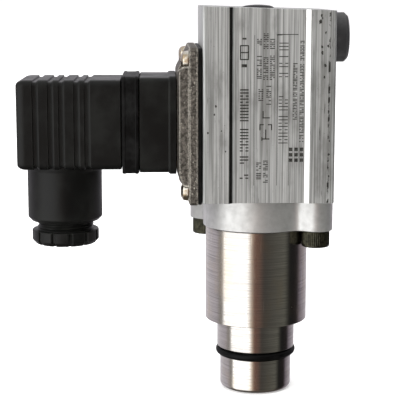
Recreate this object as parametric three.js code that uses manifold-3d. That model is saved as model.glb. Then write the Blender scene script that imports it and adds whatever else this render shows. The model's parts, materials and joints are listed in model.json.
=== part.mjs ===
// Hydraulic pressure switch: a square aluminium housing on a plug-in steel barrel, with a right-angle
// plug connector on its left side. A piston in the nose lifts a rod and a spring plate, whose finger
// works a snap switch; a screw under the top cap sets the spring, and a side knob locks it.
//
// Millimetres, +Z up, +X right, the label face looks along -Y. The origin is on the barrel's axis, in
// the plane of the shoulder that seats on the manifold.

import * as THREE from 'three';
import { mergeVertices } from 'three/addons/utils/BufferGeometryUtils.js';
import Module from 'manifold-3d';

// ---- driving dimensions -------------------------------------------------------------------------

const GAP = 0.2;                 // clearance left between faces that meet
const CUT = 1;                   // how far a cutting solid runs past the face it opens
const ROUND = 28;                // facets around a large turned piece
const SMALL = 16;                // facets around a small turned piece

const BARREL = { radius: 15.8, length: 29.5, chamfer: 0.8, neckRadius: 12.2, neckRise: 6.1 };
const GUIDE_SPIGOT = { radius: 9, length: 16.3 };
const ROD_BORE = 4.6;
const NOSE = {
  upperRadius: 12.1, lowerRadius: 11.1, length: 22.2, round: 1.3, portRadius: 4.6, portDepth: 8,
};
const NOSE_COLLAR = 2;           // how far the nose's full width is let into the barrel
const O_RING = { radius: 11.35, section: 1.1, depth: 10.4, grooveRadius: 10.2, grooveWidth: 2.8 };

const FLANGE = { radius: 16.5, thickness: 9.4, earRadius: 5.1, fillet: 4 };
const FLANGE_SCREW = { radius: 2.1, headRadius: 4.25, headHeight: 5, depth: 5.5, socketRadius: 2.1 };
const FLANGE_SCREWS = { front: [17.3, -10.6], back: [-15.1, 13.35] };

const HOUSING = { left: -17.5, right: 21.5, halfDepth: 20.5, height: 57.6, topFall: 1.2, corner: 1.2 };
const LABEL_RECESS = { left: -9.5, right: 13.9, depth: 1.1, bevel: 1.2 };
const POCKET = { inner: -8.4, halfWidth: 13, bottom: 46.5, top: 79 };

const PISTON = { radius: 2.95, headRadius: 5, headHeight: 2.2, bottom: -13.9, headBottom: 11.2 };
const ROD = { radius: 3, top: 47.9 };
const PLATE = { radius: 5.8, bottom: 48, thickness: 2.6, hubRadius: 3.2, hubTop: 53 };
const FINGER = { tip: -14.2, halfWidth: 2.2, bottom: 48.4, top: 50.2 };
const SPRING = { radius: 4.3, wire: 0.85, turns: 7.5, stepsPerTurn: 10 };
const SPRING_BORE = 6.3;

const SEAT = { radius: 5.9, bottom: 79.1, top: 84.5, spigotRadius: 3.2, spigotLength: 2.3 };
const SEAT_KEY = { reach: 7.4, halfWidth: 1, bottom: 80, top: 84, travel: 6 };
const SPINDLE = { radius: 4.6, length: 7.3, socketRadius: 2.3, socketDepth: 3.5 };
const CAP = { radius: 4.9, recess: 5.2, recessFloor: 92.4, bottom: 93.4, shoulder: 96, top: 97 };
const KNOB = { z: 87.2, radius: 7.5, chamfer: 1, tip: 5, face: 27.3, shankRadius: 2, socketRadius: 3 };

const SWITCH = { outer: -15.7, inner: -9.5, front: -7.5, back: 12.5, bottom: 52.4, top: 62.4 };
const SWITCH_X = -12.6;          // plane of the button, the blade and the terminals
const BUTTON = { radius: 1.1, bottom: 50.35, top: 54.6 };
const BLADE = { front: -6, back: 9.5, halfWidth: 1, bottom: 54.75, thickness: 0.25 };
const TERMINALS = { common: [-5.1, 55.25], no: [2.5, 57.1], nc: [10.1, 57.1] };
const TERMINAL = { halfWidth: 1.5, halfThickness: 0.25, top: 66.4 };
const SWITCH_SCREWS = { front: -2.2, back: 7.3 };
const SWITCH_SCREW = { z: 59.6, radius: 0.95, headRadius: 1.9, headHeight: 0.95, tip: -7.4 };
const EARTH_SCREW = { y: -9.5, z: 75.5, radius: 1, headRadius: 1.8, headHeight: 1.8, length: 4 };

const COVER = {
  inner: -18.7, flange: 2.3, face: -24.9, halfWidth: 20.6, bottom: 38.3, top: 84.9, corner: 3,
};
const COVER_RISE = { footHalfWidth: 18.8, halfWidth: 15, foot: [46.8, 78.3], face: [47.4, 77.8] };
const GASKET = { inner: -17.6, outer: -18.6 };
const COVER_SCREW = {
  y: 17, levels: { lower: 42.4, upper: 81.1 }, radius: 1.45, headRadius: 2.8, headHeight: 2.7,
};

const PLUG_Z = 62.3;             // height of the connector's centre line
const BASE = { inner: -25, lip: -27.2, face: -36, half: 14.75, lipHalf: 15.2, cavity: 10.3, floor: -31 };
const PIN = { offset: 9, halfWidth: 3.15, halfThickness: 0.4, inner: -28, tip: -46 };
const BASE_SCREW = { offset: 12.3, radius: 1.3, headRadius: 2, headHeight: 1.6, tip: -21.5 };
const SEAL = { inner: -36.1, outer: -41.1, half: 15.15, window: 11.5 };
const PLUG = { inner: -41.3, outer: -73.2, half: 14, corner: 3.2, cavity: 11.5, cavityEnd: -69.5 };
const BLOCK = { inner: -36.4, outer: -57.5, half: 11.2 };
const SLEEVE = { halfWidth: 3.5, halfThickness: 1.05, inner: -37, outer: -51 };
const PLUG_SCREW = { radius: 1.5, headRadius: 2.9, head: -73, neck: -70.7, tip: -31.2 };

const GLAND = { x: -59.2, bossRadius: 11.4, bossBottom: 31.4, threadBore: 9, seat: 47.6, throat: 7 };
const NUT = { radius: 10.25, bottom: 24.2, top: 28.6, neckRadius: 8.7, neckTop: 41, bore: 4.8, flutes: 12 };
const WASHER = { bore: 4.9, radius: 8.6, bottom: 41.2, thickness: 0.7 };
const GROMMET = { bore: 4.6, radius: 8.5, bottom: 42.1, top: 47.4 };
const WIRE_RADIUS = 0.7;

const FLANGE_BOTTOM = BARREL.length;
const FLANGE_TOP = FLANGE_BOTTOM + FLANGE.thickness;
const HOUSING_BOTTOM = FLANGE_TOP + GAP;
const HOUSING_TOP = HOUSING_BOTTOM + HOUSING.height;
const NECK_TOP = HOUSING_BOTTOM + BARREL.neckRise - GAP;
const PIN_SITES = [[-PIN.offset, 0], [PIN.offset, 0], [0, -PIN.offset], [0, PIN.offset]];

// ---- materials ----------------------------------------------------------------------------------

function surface(color, roughness, metalness) {
  return new THREE.MeshStandardMaterial({ color, roughness, metalness });
}
const metal = (colour, roughness) => surface(colour, roughness, 1);
const plastic = (colour, roughness) => surface(colour, roughness, 0);

const extrudedAluminium = metal(0xa3a2a0, 0.45);
const machinedAluminium = metal(0xc9c7c2, 0.35);
const turnedSteel = metal(0x9d9894, 0.2);
const castAluminium = metal(0x4d453d, 0.6);
const blackSteel = metal(0x1c1b1b, 0.4);
const platedSteel = metal(0xc8c2b0, 0.25);
const springSteel = metal(0x77736c, 0.3);
const brass = metal(0xb08d4a, 0.3);
const blackPlastic = plastic(0x1f1f21, 0.5);
const switchPlastic = plastic(0x2a2523, 0.45);
const rubber = plastic(0x111111, 0.75);

// ---- geometry helpers ---------------------------------------------------------------------------

const wasm = await Module();
wasm.setup();

const object = new THREE.Group();

function signedVolume(position, index) {
  const [a, b, c] = [new THREE.Vector3(), new THREE.Vector3(), new THREE.Vector3()];
  let volume = 0;
  for (let i = 0; i < index.length; i += 3) {
    a.fromBufferAttribute(position, index[i]);
    b.fromBufferAttribute(position, index[i + 1]);
    c.fromBufferAttribute(position, index[i + 2]);
    volume += a.dot(b.cross(c)) / 6;
  }
  return volume;
}

// Merges shared corners, drops the empty triangles at a lathe's poles and turns every face outwards.
function closed(geometry) {
  const bare = geometry.clone();
  bare.deleteAttribute('normal');
  bare.deleteAttribute('uv');
  const merged = mergeVertices(bare, 1e-4);
  const kept = [];
  const corners = merged.index.array;
  for (let i = 0; i < corners.length; i += 3) {
    const [a, b, c] = [corners[i], corners[i + 1], corners[i + 2]];
    if (a !== b && b !== c && c !== a) kept.push(a, b, c);
  }
  if (signedVolume(merged.attributes.position, kept) < 0) kept.reverse();
  merged.setIndex(kept);
  merged.computeVertexNormals();
  return merged;
}

function toSolid(geometry) {
  const shell = closed(geometry);
  return new wasm.Manifold(new wasm.Mesh({
    numProp: 3,
    vertProperties: new Float32Array(shell.attributes.position.array),
    triVerts: new Uint32Array(shell.index.array),
  }));
}

function toGeometry(solid) {
  const mesh = solid.getMesh();
  const geometry = new THREE.BufferGeometry();
  geometry.setAttribute('position', new THREE.BufferAttribute(mesh.vertProperties, 3));
  geometry.setIndex(new THREE.BufferAttribute(mesh.triVerts, 1));
  geometry.computeVertexNormals();
  return geometry;
}

function shape(body, { add = [], cut = [] }) {
  let solid = toSolid(body);
  for (const piece of add) solid = solid.add(toSolid(piece));
  for (const piece of cut) solid = solid.subtract(toSolid(piece));
  return toGeometry(solid);
}

function box([x0, x1], [y0, y1], [z0, z1]) {
  const geometry = new THREE.BoxGeometry(Math.abs(x1 - x0), Math.abs(y1 - y0), Math.abs(z1 - z0));
  return geometry.translate((x0 + x1) / 2, (y0 + y1) / 2, (z0 + z1) / 2);
}

// Turns a profile of [radius, height] points about Z; a ring's profile closes on its first point.
function turned(profile, facets = ROUND) {
  const points = profile.map(([radius, height]) => new THREE.Vector2(radius, height));
  return new THREE.LatheGeometry(points, facets).rotateX(Math.PI / 2);
}

const ring = (profile, facets = ROUND) => turned([...profile, profile[0]], facets);

const tubeProfile = (inner, outer, low, high) => [[inner, low], [outer, low], [outer, high], [inner, high]];

function rod(radius, low, high, facets = SMALL) {
  return turned([[0, low], [radius, low], [radius, high], [0, high]], facets);
}

// Lays a piece turned about Z along the X axis, so that its heights become X places.
const alongX = (geometry, y, z) => geometry.rotateY(Math.PI / 2).translate(0, y, z);

function outline(halfWidth, halfHeight, corner, [cx, cy] = [0, 0]) {
  const path = new THREE.Shape();
  const [w, h] = [halfWidth - corner, halfHeight - corner];
  path.absarc(cx + w, cy + h, corner, 0, Math.PI / 2);
  path.absarc(cx - w, cy + h, corner, Math.PI / 2, Math.PI);
  path.absarc(cx - w, cy - h, corner, Math.PI, Math.PI * 1.5);
  path.absarc(cx + w, cy - h, corner, Math.PI * 1.5, Math.PI * 2);
  return path;
}

function hole(path, x, y, radius) {
  path.holes.push(new THREE.Path().absarc(x, y, radius, 0, Math.PI * 2, true));
}

function prism(path, depth, curveSegments = 5) {
  return new THREE.ExtrudeGeometry(path, { depth, bevelEnabled: false, curveSegments });
}

// Stands an outline drawn in (Y, Z) up as a plate between two X planes.
function plateX(path, x0, x1, curveSegments) {
  const [low, high] = [Math.min(x0, x1), Math.max(x0, x1)];
  const axes = new THREE.Matrix4().makeBasis(
    new THREE.Vector3(0, 1, 0), new THREE.Vector3(0, 0, 1), new THREE.Vector3(1, 0, 0));
  return prism(path, high - low, curveSegments).applyMatrix4(axes).translate(low, 0, 0);
}

function sweep(curve, radius, sides, steps) {
  const section = new THREE.Shape();
  for (let i = 0; i < sides; i += 1) {
    const angle = (i / sides) * Math.PI * 2;
    const [x, y] = [radius * Math.cos(angle), radius * Math.sin(angle)];
    if (i === 0) section.moveTo(x, y);
    else section.lineTo(x, y);
  }
  section.closePath();
  return new THREE.ExtrudeGeometry(section, { steps, bevelEnabled: false, extrudePath: curve });
}

function add(name, geometry, material) {
  const mesh = new THREE.Mesh(closed(geometry), material);
  mesh.name = name;
  object.add(mesh);
}

// ---- barrel, nose and piston --------------------------------------------------------------------

function barrel() {
  const { radius, length, chamfer, neckRadius } = BARREL;
  const bushBore = 6.6;
  const bushFloor = NECK_TOP - 5.2;
  const spigotBore = GUIDE_SPIGOT.radius + GAP;
  const spigotFloor = GUIDE_SPIGOT.length + GAP;
  const collarBore = NOSE.upperRadius + GAP;
  return ring([
    [collarBore, 0], [radius - chamfer, 0], [radius, chamfer], [radius, length - GAP],
    [neckRadius, length - GAP], [neckRadius, NECK_TOP], [bushBore, NECK_TOP], [bushBore, bushFloor],
    [ROD_BORE, bushFloor], [ROD_BORE, spigotFloor], [spigotBore, spigotFloor],
    [spigotBore, NOSE_COLLAR], [collarBore, NOSE_COLLAR],
  ]);
}

function nose() {
  const { upperRadius, lowerRadius, length, round, portRadius, portDepth } = NOSE;
  const grooveTop = -O_RING.depth + O_RING.grooveWidth / 2;
  const grooveBottom = -O_RING.depth - O_RING.grooveWidth / 2;
  const bore = PISTON.radius + 0.1;
  const [sealTop, sealBottom, sealBore] = [-7, -9.2, 4.6];
  const headBore = PISTON.headRadius + 0.4;
  const collarTop = NOSE_COLLAR - GAP;
  const headFloor = PISTON.headBottom - GAP;
  return ring([
    [portRadius, -length], [lowerRadius - round, -length],
    [lowerRadius - round * 0.3, -length + round * 0.3],
    [lowerRadius, -length + round], [lowerRadius, grooveBottom], [O_RING.grooveRadius, grooveBottom],
    [O_RING.grooveRadius, grooveTop], [upperRadius, grooveTop], [upperRadius, collarTop],
    [GUIDE_SPIGOT.radius, collarTop], [GUIDE_SPIGOT.radius, GUIDE_SPIGOT.length],
    [headBore, GUIDE_SPIGOT.length],
    [headBore, headFloor], [bore, headFloor], [bore, sealTop], [sealBore, sealTop], [sealBore, sealBottom],
    [bore, sealBottom], [bore, portDepth - length], [portRadius, portDepth - length],
  ]);
}

function oRing() {
  const profile = [];
  const sides = 10;
  for (let i = 0; i < sides; i += 1) {
    const angle = (i / sides) * Math.PI * 2;
    profile.push([
      O_RING.radius + O_RING.section * Math.cos(angle),
      -O_RING.depth + O_RING.section * Math.sin(angle),
    ]);
  }
  return ring(profile);
}

function piston() {
  const { radius, headRadius, headHeight, bottom, headBottom } = PISTON;
  const headTop = headBottom + headHeight;
  return turned([
    [0, bottom], [radius, bottom], [radius, headBottom],
    [headRadius, headBottom], [headRadius, headTop], [0, headTop],
  ], SMALL);
}

function lowerSpringPlate() {
  const top = PLATE.bottom + PLATE.thickness;
  const disc = turned([
    [0, PLATE.bottom], [PLATE.radius, PLATE.bottom], [PLATE.radius, top],
    [PLATE.hubRadius, top], [PLATE.hubRadius, PLATE.hubTop], [0, PLATE.hubTop],
  ], 24);
  const finger = box([FINGER.tip, 0], [-FINGER.halfWidth, FINGER.halfWidth], [FINGER.bottom, FINGER.top]);
  return shape(disc, { add: [finger] });
}

class Helix extends THREE.Curve {
  getPoint(t, target = new THREE.Vector3()) {
    const angle = t * SPRING.turns * Math.PI * 2;
    const low = PLATE.bottom + PLATE.thickness + SPRING.wire + GAP / 2;
    const high = SEAT.bottom - SPRING.wire - GAP / 2;
    const height = low + (high - low) * t;
    return target.set(SPRING.radius * Math.cos(angle), SPRING.radius * Math.sin(angle), height);
  }
}

add('barrel', barrel(), turnedSteel);
add('nose', nose(), turnedSteel);
add('nose_o_ring', oRing(), rubber);
add('piston', piston(), springSteel);
add('piston_seal', ring(tubeProfile(PISTON.radius + 0.05, 4.5, -9.1, -7.1), SMALL), rubber);
add('push_rod', rod(ROD.radius, PISTON.headBottom + PISTON.headHeight + GAP / 2, ROD.top), turnedSteel);
const bushProfile = tubeProfile(ROD.radius + 0.15, 6.4, NECK_TOP - 5, NECK_TOP - GAP);
add('rod_guide_bush', ring(bushProfile, SMALL), brass);
add('lower_spring_plate', lowerSpringPlate(), springSteel);
add('pressure_spring', sweep(new Helix(), SPRING.wire, 6, SPRING.turns * SPRING.stepsPerTurn), springSteel);

// ---- flange -------------------------------------------------------------------------------------

// The flange seen from above: a disc with an ear toward each screw, blended in by hollow fillets.
function flangeOutline() {
  const { radius, earRadius, fillet } = FLANGE;
  const path = new THREE.Shape();
  const blend = Math.asin((earRadius + fillet) / (radius + fillet));
  for (const [x, y] of Object.values(FLANGE_SCREWS)) {
    const way = Math.atan2(y, x);
    const before = way - blend;
    const after = way + blend;
    const reach = radius + fillet;
    const [beforeX, beforeY] = [reach * Math.cos(before), reach * Math.sin(before)];
    path.absarc(beforeX, beforeY, fillet, before + Math.PI, way + Math.PI / 2, true);
    path.absarc(x, y, earRadius, way - Math.PI / 2, way + Math.PI / 2);
    const [afterX, afterY] = [reach * Math.cos(after), reach * Math.sin(after)];
    path.absarc(afterX, afterY, fillet, way - Math.PI / 2, after - Math.PI, true);
    path.absarc(0, 0, radius, after, nextEar(way) - blend);
    hole(path, x, y, FLANGE_SCREW.radius + GAP);
  }
  hole(path, 0, 0, BARREL.neckRadius + GAP);
  return path;
}

function nextEar(way) {
  const ways = Object.values(FLANGE_SCREWS).map(([x, y]) => Math.atan2(y, x)).sort((a, b) => a - b);
  const next = ways.find((other) => other > way + 0.01);
  return next === undefined ? ways[0] + Math.PI * 2 : next;
}

function flange() {
  const plate = prism(flangeOutline(), FLANGE.thickness, 9).translate(0, 0, FLANGE_BOTTOM);
  const coverRelief = box([-30, HOUSING.left], [-30, 30], [COVER.bottom - 0.4, FLANGE_TOP + CUT]);
  return shape(plate, { cut: [coverRelief] });
}

function flangeScrew([x, y]) {
  const { radius, headRadius, headHeight, depth, socketRadius } = FLANGE_SCREW;
  const top = FLANGE_BOTTOM - GAP / 2;
  const bottom = top - headHeight;
  const shaft = turned([
    [0, bottom], [headRadius - 0.4, bottom], [headRadius, bottom + 0.4], [headRadius, top], [radius, top],
    [radius, HOUSING_BOTTOM + depth], [0, HOUSING_BOTTOM + depth],
  ], 24);
  const socket = rod(socketRadius, bottom - CUT, bottom + headHeight / 2, 6);
  return shape(shaft, { cut: [socket] }).translate(x, y, 0);
}

add('flange', flange(), machinedAluminium);
for (const [side, site] of Object.entries(FLANGE_SCREWS)) {
  add(`flange_screw_${side}`, flangeScrew(site), blackSteel);
}

// ---- housing ------------------------------------------------------------------------------------

function housingOutline() {
  const { left, right, halfDepth, corner } = HOUSING;
  const front = -halfDepth;
  const floor = front + LABEL_RECESS.depth;
  const path = new THREE.Shape();
  path.moveTo(left + corner, front);
  path.lineTo(LABEL_RECESS.left, front);
  path.lineTo(LABEL_RECESS.left + LABEL_RECESS.bevel, floor);
  path.lineTo(LABEL_RECESS.right - LABEL_RECESS.bevel, floor);
  path.lineTo(LABEL_RECESS.right, front);
  path.absarc(right - corner, front + corner, corner, -Math.PI / 2, 0);
  path.absarc(right - corner, halfDepth - corner, corner, 0, Math.PI / 2);
  path.absarc(left + corner, halfDepth - corner, corner, Math.PI / 2, Math.PI);
  path.absarc(left + corner, front + corner, corner, Math.PI, Math.PI * 1.5);
  return path;
}

// The top face falls a little from left to right: a wedge that is taken off the block.
function topWedge() {
  const { left, right, halfDepth, topFall } = HOUSING;
  const depth = (halfDepth + CUT) * 2;
  const slope = Math.atan2(topFall, right - left);
  const wedge = box([-CUT, right - left + 2 * CUT], [-depth / 2, depth / 2], [0, 10]);
  return wedge.rotateY(slope).translate(left, 0, HOUSING_TOP);
}

function housing() {
  const block = prism(housingOutline(), HOUSING.height, 3).translate(0, 0, HOUSING_BOTTOM);
  const below = HOUSING_BOTTOM - CUT;
  const spindleFloor = SEAT.top + 0.7;
  const { bottom, top, inner, halfWidth } = POCKET;
  const cut = [
    topWedge(),
    rod(BARREL.neckRadius + GAP, below, HOUSING_BOTTOM + BARREL.neckRise, ROUND),
    rod(SPRING_BORE, below, spindleFloor, 24),
    rod(SPINDLE.radius + 0.15, below, HOUSING_TOP, SMALL),
    rod(CAP.recess, CAP.recessFloor, HOUSING_TOP + CUT, 24),
    box([HOUSING.left - CUT, inner], [-halfWidth, halfWidth], [bottom, top]),
    box([inner - CUT, 0], [-FINGER.halfWidth - 0.8, FINGER.halfWidth + 0.8], [bottom, PLATE.hubTop]),
    box([5, SEAT_KEY.reach + GAP], [-SEAT_KEY.halfWidth - GAP, SEAT_KEY.halfWidth + GAP],
      [SEAT_KEY.bottom - SEAT_KEY.travel, SEAT_KEY.top + GAP]),
    alongX(rod(KNOB.shankRadius + GAP, KNOB.tip - CUT, HOUSING.right + CUT), 0, KNOB.z),
    alongX(
      rod(EARTH_SCREW.radius + 0.1, inner - CUT, inner + EARTH_SCREW.length + 0.3),
      EARTH_SCREW.y, EARTH_SCREW.z,
    ),
  ];
  for (const [x, y] of Object.values(FLANGE_SCREWS)) {
    const end = HOUSING_BOTTOM + FLANGE_SCREW.depth + 0.4;
    cut.push(rod(FLANGE_SCREW.radius + 0.1, below, end).translate(x, y, 0));
  }
  for (const y of Object.values(SWITCH_SCREWS)) {
    const hole = rod(SWITCH_SCREW.radius + 0.1, inner - CUT, SWITCH_SCREW.tip + 0.3, 12);
    cut.push(alongX(hole, y, SWITCH_SCREW.z));
  }
  for (const z of Object.values(COVER_SCREW.levels)) {
    for (const y of [-COVER_SCREW.y, COVER_SCREW.y]) {
      cut.push(alongX(rod(COVER_SCREW.radius + 0.1, HOUSING.left - CUT, HOUSING.left + 8.3, 12), y, z));
    }
  }
  return shape(block, { cut });
}

add('housing', housing(), extrudedAluminium);

// ---- adjustment ---------------------------------------------------------------------------------

function upperSpringSeat() {
  const { radius, bottom, top, spigotRadius, spigotLength } = SEAT;
  const disc = turned([
    [0, bottom - spigotLength], [spigotRadius, bottom - spigotLength], [spigotRadius, bottom],
    [radius, bottom], [radius, top], [0, top],
  ], 24);
  const { reach, halfWidth } = SEAT_KEY;
  const key = box([0, reach], [-halfWidth, halfWidth], [SEAT_KEY.bottom, SEAT_KEY.top]);
  return shape(disc, { add: [key] });
}

function adjustingSpindle() {
  const bottom = SEAT.top + GAP / 2;
  const top = bottom + SPINDLE.length;
  const body = turned([
    [0, bottom], [SPINDLE.radius - 0.6, bottom], [SPINDLE.radius, bottom + 0.6],
    [SPINDLE.radius, top - 0.6], [SPINDLE.radius - 0.6, top], [0, top],
  ]);
  return shape(body, { cut: [rod(SPINDLE.socketRadius, top - SPINDLE.socketDepth, top + CUT, 6)] });
}

function retainingRing() {
  const [low, high] = [CAP.recessFloor + 0.1, CAP.bottom - 0.2];
  const body = ring(tubeProfile(3.7, CAP.recess - 0.1, low, high), 24);
  return shape(body, { cut: [box([2, 7], [-1.4, 1.4], [low - CUT, high + CUT])] });
}

function adjusterCap() {
  const { radius, bottom, shoulder, top } = CAP;
  return turned([
    [0, bottom], [radius, bottom], [radius, shoulder], [radius - 0.3, shoulder + 0.5],
    [radius - 1.2, top - 0.15], [0, top],
  ], 24);
}

function lockKnob() {
  const { radius, chamfer, tip, face, shankRadius, socketRadius } = KNOB;
  const collar = HOUSING.right + GAP;
  const back = collar + 0.6;
  return alongX(turned([
    [0, tip], [shankRadius, tip], [shankRadius, collar],
    [socketRadius + 0.6, collar], [socketRadius + 0.6, back],
    [radius - 0.5, back], [radius, back + 0.5], [radius, face - chamfer], [radius - chamfer, face],
    [socketRadius, face], [socketRadius, face - 1.8], [0, face - 1.8],
  ], 24), 0, KNOB.z);
}

add('upper_spring_seat', upperSpringSeat(), turnedSteel);
add('adjusting_spindle', adjustingSpindle(), blackSteel);
add('retaining_ring', retainingRing(), springSteel);
add('adjuster_cap', adjusterCap(), blackPlastic);
add('lock_knob', lockKnob(), blackPlastic);

// ---- snap switch --------------------------------------------------------------------------------

function switchCase() {
  const { outer, inner, front, back, bottom, top } = SWITCH;
  const wall = 1.1;
  const cut = [
    box([outer - CUT, inner - wall], [front + wall, back - wall], [bottom + wall, bottom + 4.3]),
    rod(BUTTON.radius + 0.15, bottom - CUT, bottom + wall + GAP, 16).translate(SWITCH_X, 0, 0),
  ];
  for (const y of Object.values(SWITCH_SCREWS)) {
    cut.push(alongX(rod(SWITCH_SCREW.radius + 0.1, outer - CUT, inner + CUT, 12), y, SWITCH_SCREW.z));
  }
  for (const [y, low] of Object.values(TERMINALS)) {
    const width = TERMINAL.halfWidth + 0.1;
    const depth = TERMINAL.halfThickness + 0.1;
    cut.push(box([SWITCH_X - width, SWITCH_X + width], [y - depth, y + depth], [low - 0.1, top + CUT]));
  }
  return shape(box([outer, inner], [front, back], [bottom, top]), { cut });
}

function sheetWithScrewHoles(halfWidth, halfHeight, centre, x0, x1) {
  const path = outline(halfWidth, halfHeight, 0.6, centre);
  for (const y of Object.values(SWITCH_SCREWS)) hole(path, y, SWITCH_SCREW.z, SWITCH_SCREW.radius + 0.25);
  return plateX(path, x0, x1, 6);
}

function switchLid() {
  const { outer, front, back, bottom, top } = SWITCH;
  const centre = [(front + back) / 2, (bottom + top) / 2];
  return sheetWithScrewHoles((back - front) / 2, (top - bottom) / 2, centre, outer - 0.6, outer - 0.1);
}

function insulatingPlate() {
  const [low, high] = [51.4, 72];
  const centre = [0, (low + high) / 2];
  return sheetWithScrewHoles(12, (high - low) / 2, centre, POCKET.inner - 0.9, POCKET.inner - GAP);
}

function switchScrew(y) {
  const { radius, headRadius, headHeight, tip, z } = SWITCH_SCREW;
  const head = SWITCH.outer - 0.7;
  return alongX(turned([
    [0, head - headHeight], [headRadius - 0.4, head - headHeight], [headRadius, head - 0.4],
    [headRadius, head], [radius, head], [radius, tip], [0, tip],
  ], 12), y, z);
}

function earthScrew() {
  const { y, z, radius, headRadius, headHeight, length } = EARTH_SCREW;
  const seat = POCKET.inner - GAP;
  return alongX(turned([
    [0, seat - headHeight], [headRadius, seat - headHeight], [headRadius, seat],
    [radius, seat], [radius, POCKET.inner + length], [0, POCKET.inner + length],
  ], 12), y, z);
}

add('switch_case', switchCase(), switchPlastic);
add('switch_lid', switchLid(), switchPlastic);
add('switch_button', rod(BUTTON.radius, BUTTON.bottom, BUTTON.top, 16).translate(SWITCH_X, 0, 0), brass);
add('switch_blade', box([SWITCH_X - BLADE.halfWidth, SWITCH_X + BLADE.halfWidth], [BLADE.front, BLADE.back],
  [BLADE.bottom, BLADE.bottom + BLADE.thickness]), brass);
for (const [name, [y, low]] of Object.entries(TERMINALS)) {
  const { halfWidth, halfThickness, top } = TERMINAL;
  add(`switch_terminal_${name}`, box([SWITCH_X - halfWidth, SWITCH_X + halfWidth],
    [y - halfThickness, y + halfThickness], [low, top]), brass);
}
for (const [side, y] of Object.entries(SWITCH_SCREWS)) {
  add(`switch_screw_${side}`, switchScrew(y), platedSteel);
}
add('insulating_plate', insulatingPlate(), switchPlastic);
add('earth_screw', earthScrew(), brass);

// ---- side cover ---------------------------------------------------------------------------------

const COVER_CENTRE = [0, (COVER.bottom + COVER.top) / 2];

function coverOutline(inset) {
  const halfHeight = (COVER.top - COVER.bottom) / 2;
  return outline(COVER.halfWidth - inset, halfHeight - inset, COVER.corner, COVER_CENTRE);
}

function eachCoverScrew(visit) {
  for (const [level, z] of Object.entries(COVER_SCREW.levels)) {
    visit(`${level}_front`, -COVER_SCREW.y, z);
    visit(`${level}_back`, COVER_SCREW.y, z);
  }
}

function coverGasket() {
  const path = coverOutline(0.2);
  eachCoverScrew((name, y, z) => hole(path, y, z, COVER_SCREW.radius + 0.3));
  path.holes.push(outline(12, 15, 1.5, [0, PLUG_Z]));
  return plateX(path, GASKET.outer, GASKET.inner, 6);
}

// A block whose face at x1 is smaller than its foot at x0.
function frustumX(x0, x1, foot, face) {
  const geometry = box([x0, x1], [-1, 1], [-1, 1]);
  const position = geometry.attributes.position;
  for (let i = 0; i < position.count; i += 1) {
    const end = Math.abs(position.getX(i) - x0) < Math.abs(position.getX(i) - x1) ? foot : face;
    position.setY(i, position.getY(i) * end.halfWidth);
    position.setZ(i, position.getZ(i) < 0 ? end.low : end.high);
  }
  return geometry;
}

function coverPlate() {
  const base = plateX(coverOutline(0), COVER.inner - COVER.flange, COVER.inner, 4);
  const { footHalfWidth, halfWidth, foot, face } = COVER_RISE;
  const rise = frustumX(COVER.inner - 1, COVER.face,
    { halfWidth: footHalfWidth, low: foot[0], high: foot[1] }, { halfWidth, low: face[0], high: face[1] });
  const room = BASE.cavity;
  const cut = [box([COVER.inner + CUT, COVER.face - CUT], [-room, room], [PLUG_Z - room, PLUG_Z + room])];
  eachCoverScrew((name, y, z) => {
    cut.push(alongX(rod(COVER_SCREW.radius + 0.15, COVER.face, COVER.inner + CUT, 12), y, z));
  });
  for (const sign of [-1, 1]) {
    const offset = BASE_SCREW.offset * sign;
    const hole = rod(BASE_SCREW.radius + 0.1, COVER.face - CUT, BASE_SCREW.tip + 0.4, 12);
    cut.push(alongX(hole, offset, PLUG_Z + offset));
  }
  return shape(base, { add: [rise], cut });
}

function coverScrew(y, z) {
  const { radius, headRadius, headHeight } = COVER_SCREW;
  const seat = COVER.inner - COVER.flange - GAP / 2;
  const tip = HOUSING.left + 8;
  return alongX(turned([
    [0, seat - headHeight], [headRadius * 0.6, seat - headHeight],
    [headRadius * 0.92, seat - headHeight * 0.7],
    [headRadius, seat - headHeight * 0.3], [headRadius, seat], [radius, seat], [radius, tip], [0, tip],
  ], SMALL), y, z);
}

add('cover_gasket', coverGasket(), rubber);
add('cover_plate', coverPlate(), castAluminium);
eachCoverScrew((name, y, z) => add(`cover_screw_${name}`, coverScrew(y, z), platedSteel));

// ---- connector base -----------------------------------------------------------------------------

// A flat blade or slot about the connector's centre line, wide across the way that it stands off.
function bladeBox([y, z], halfWidth, halfThickness, x0, x1) {
  const [halfY, halfZ] = y === 0 ? [halfWidth, halfThickness] : [halfThickness, halfWidth];
  return box([x0, x1], [y - halfY, y + halfY], [PLUG_Z + z - halfZ, PLUG_Z + z + halfZ]);
}

const squareX = (half, corner, x0, x1) => plateX(outline(half, half, corner, [0, PLUG_Z]), x0, x1, 4);

function hexNut(low, high, radius, bore) {
  return shape(rod(radius, low, high, 6), { cut: [rod(bore, low - CUT, high + CUT, 16)] });
}

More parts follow.
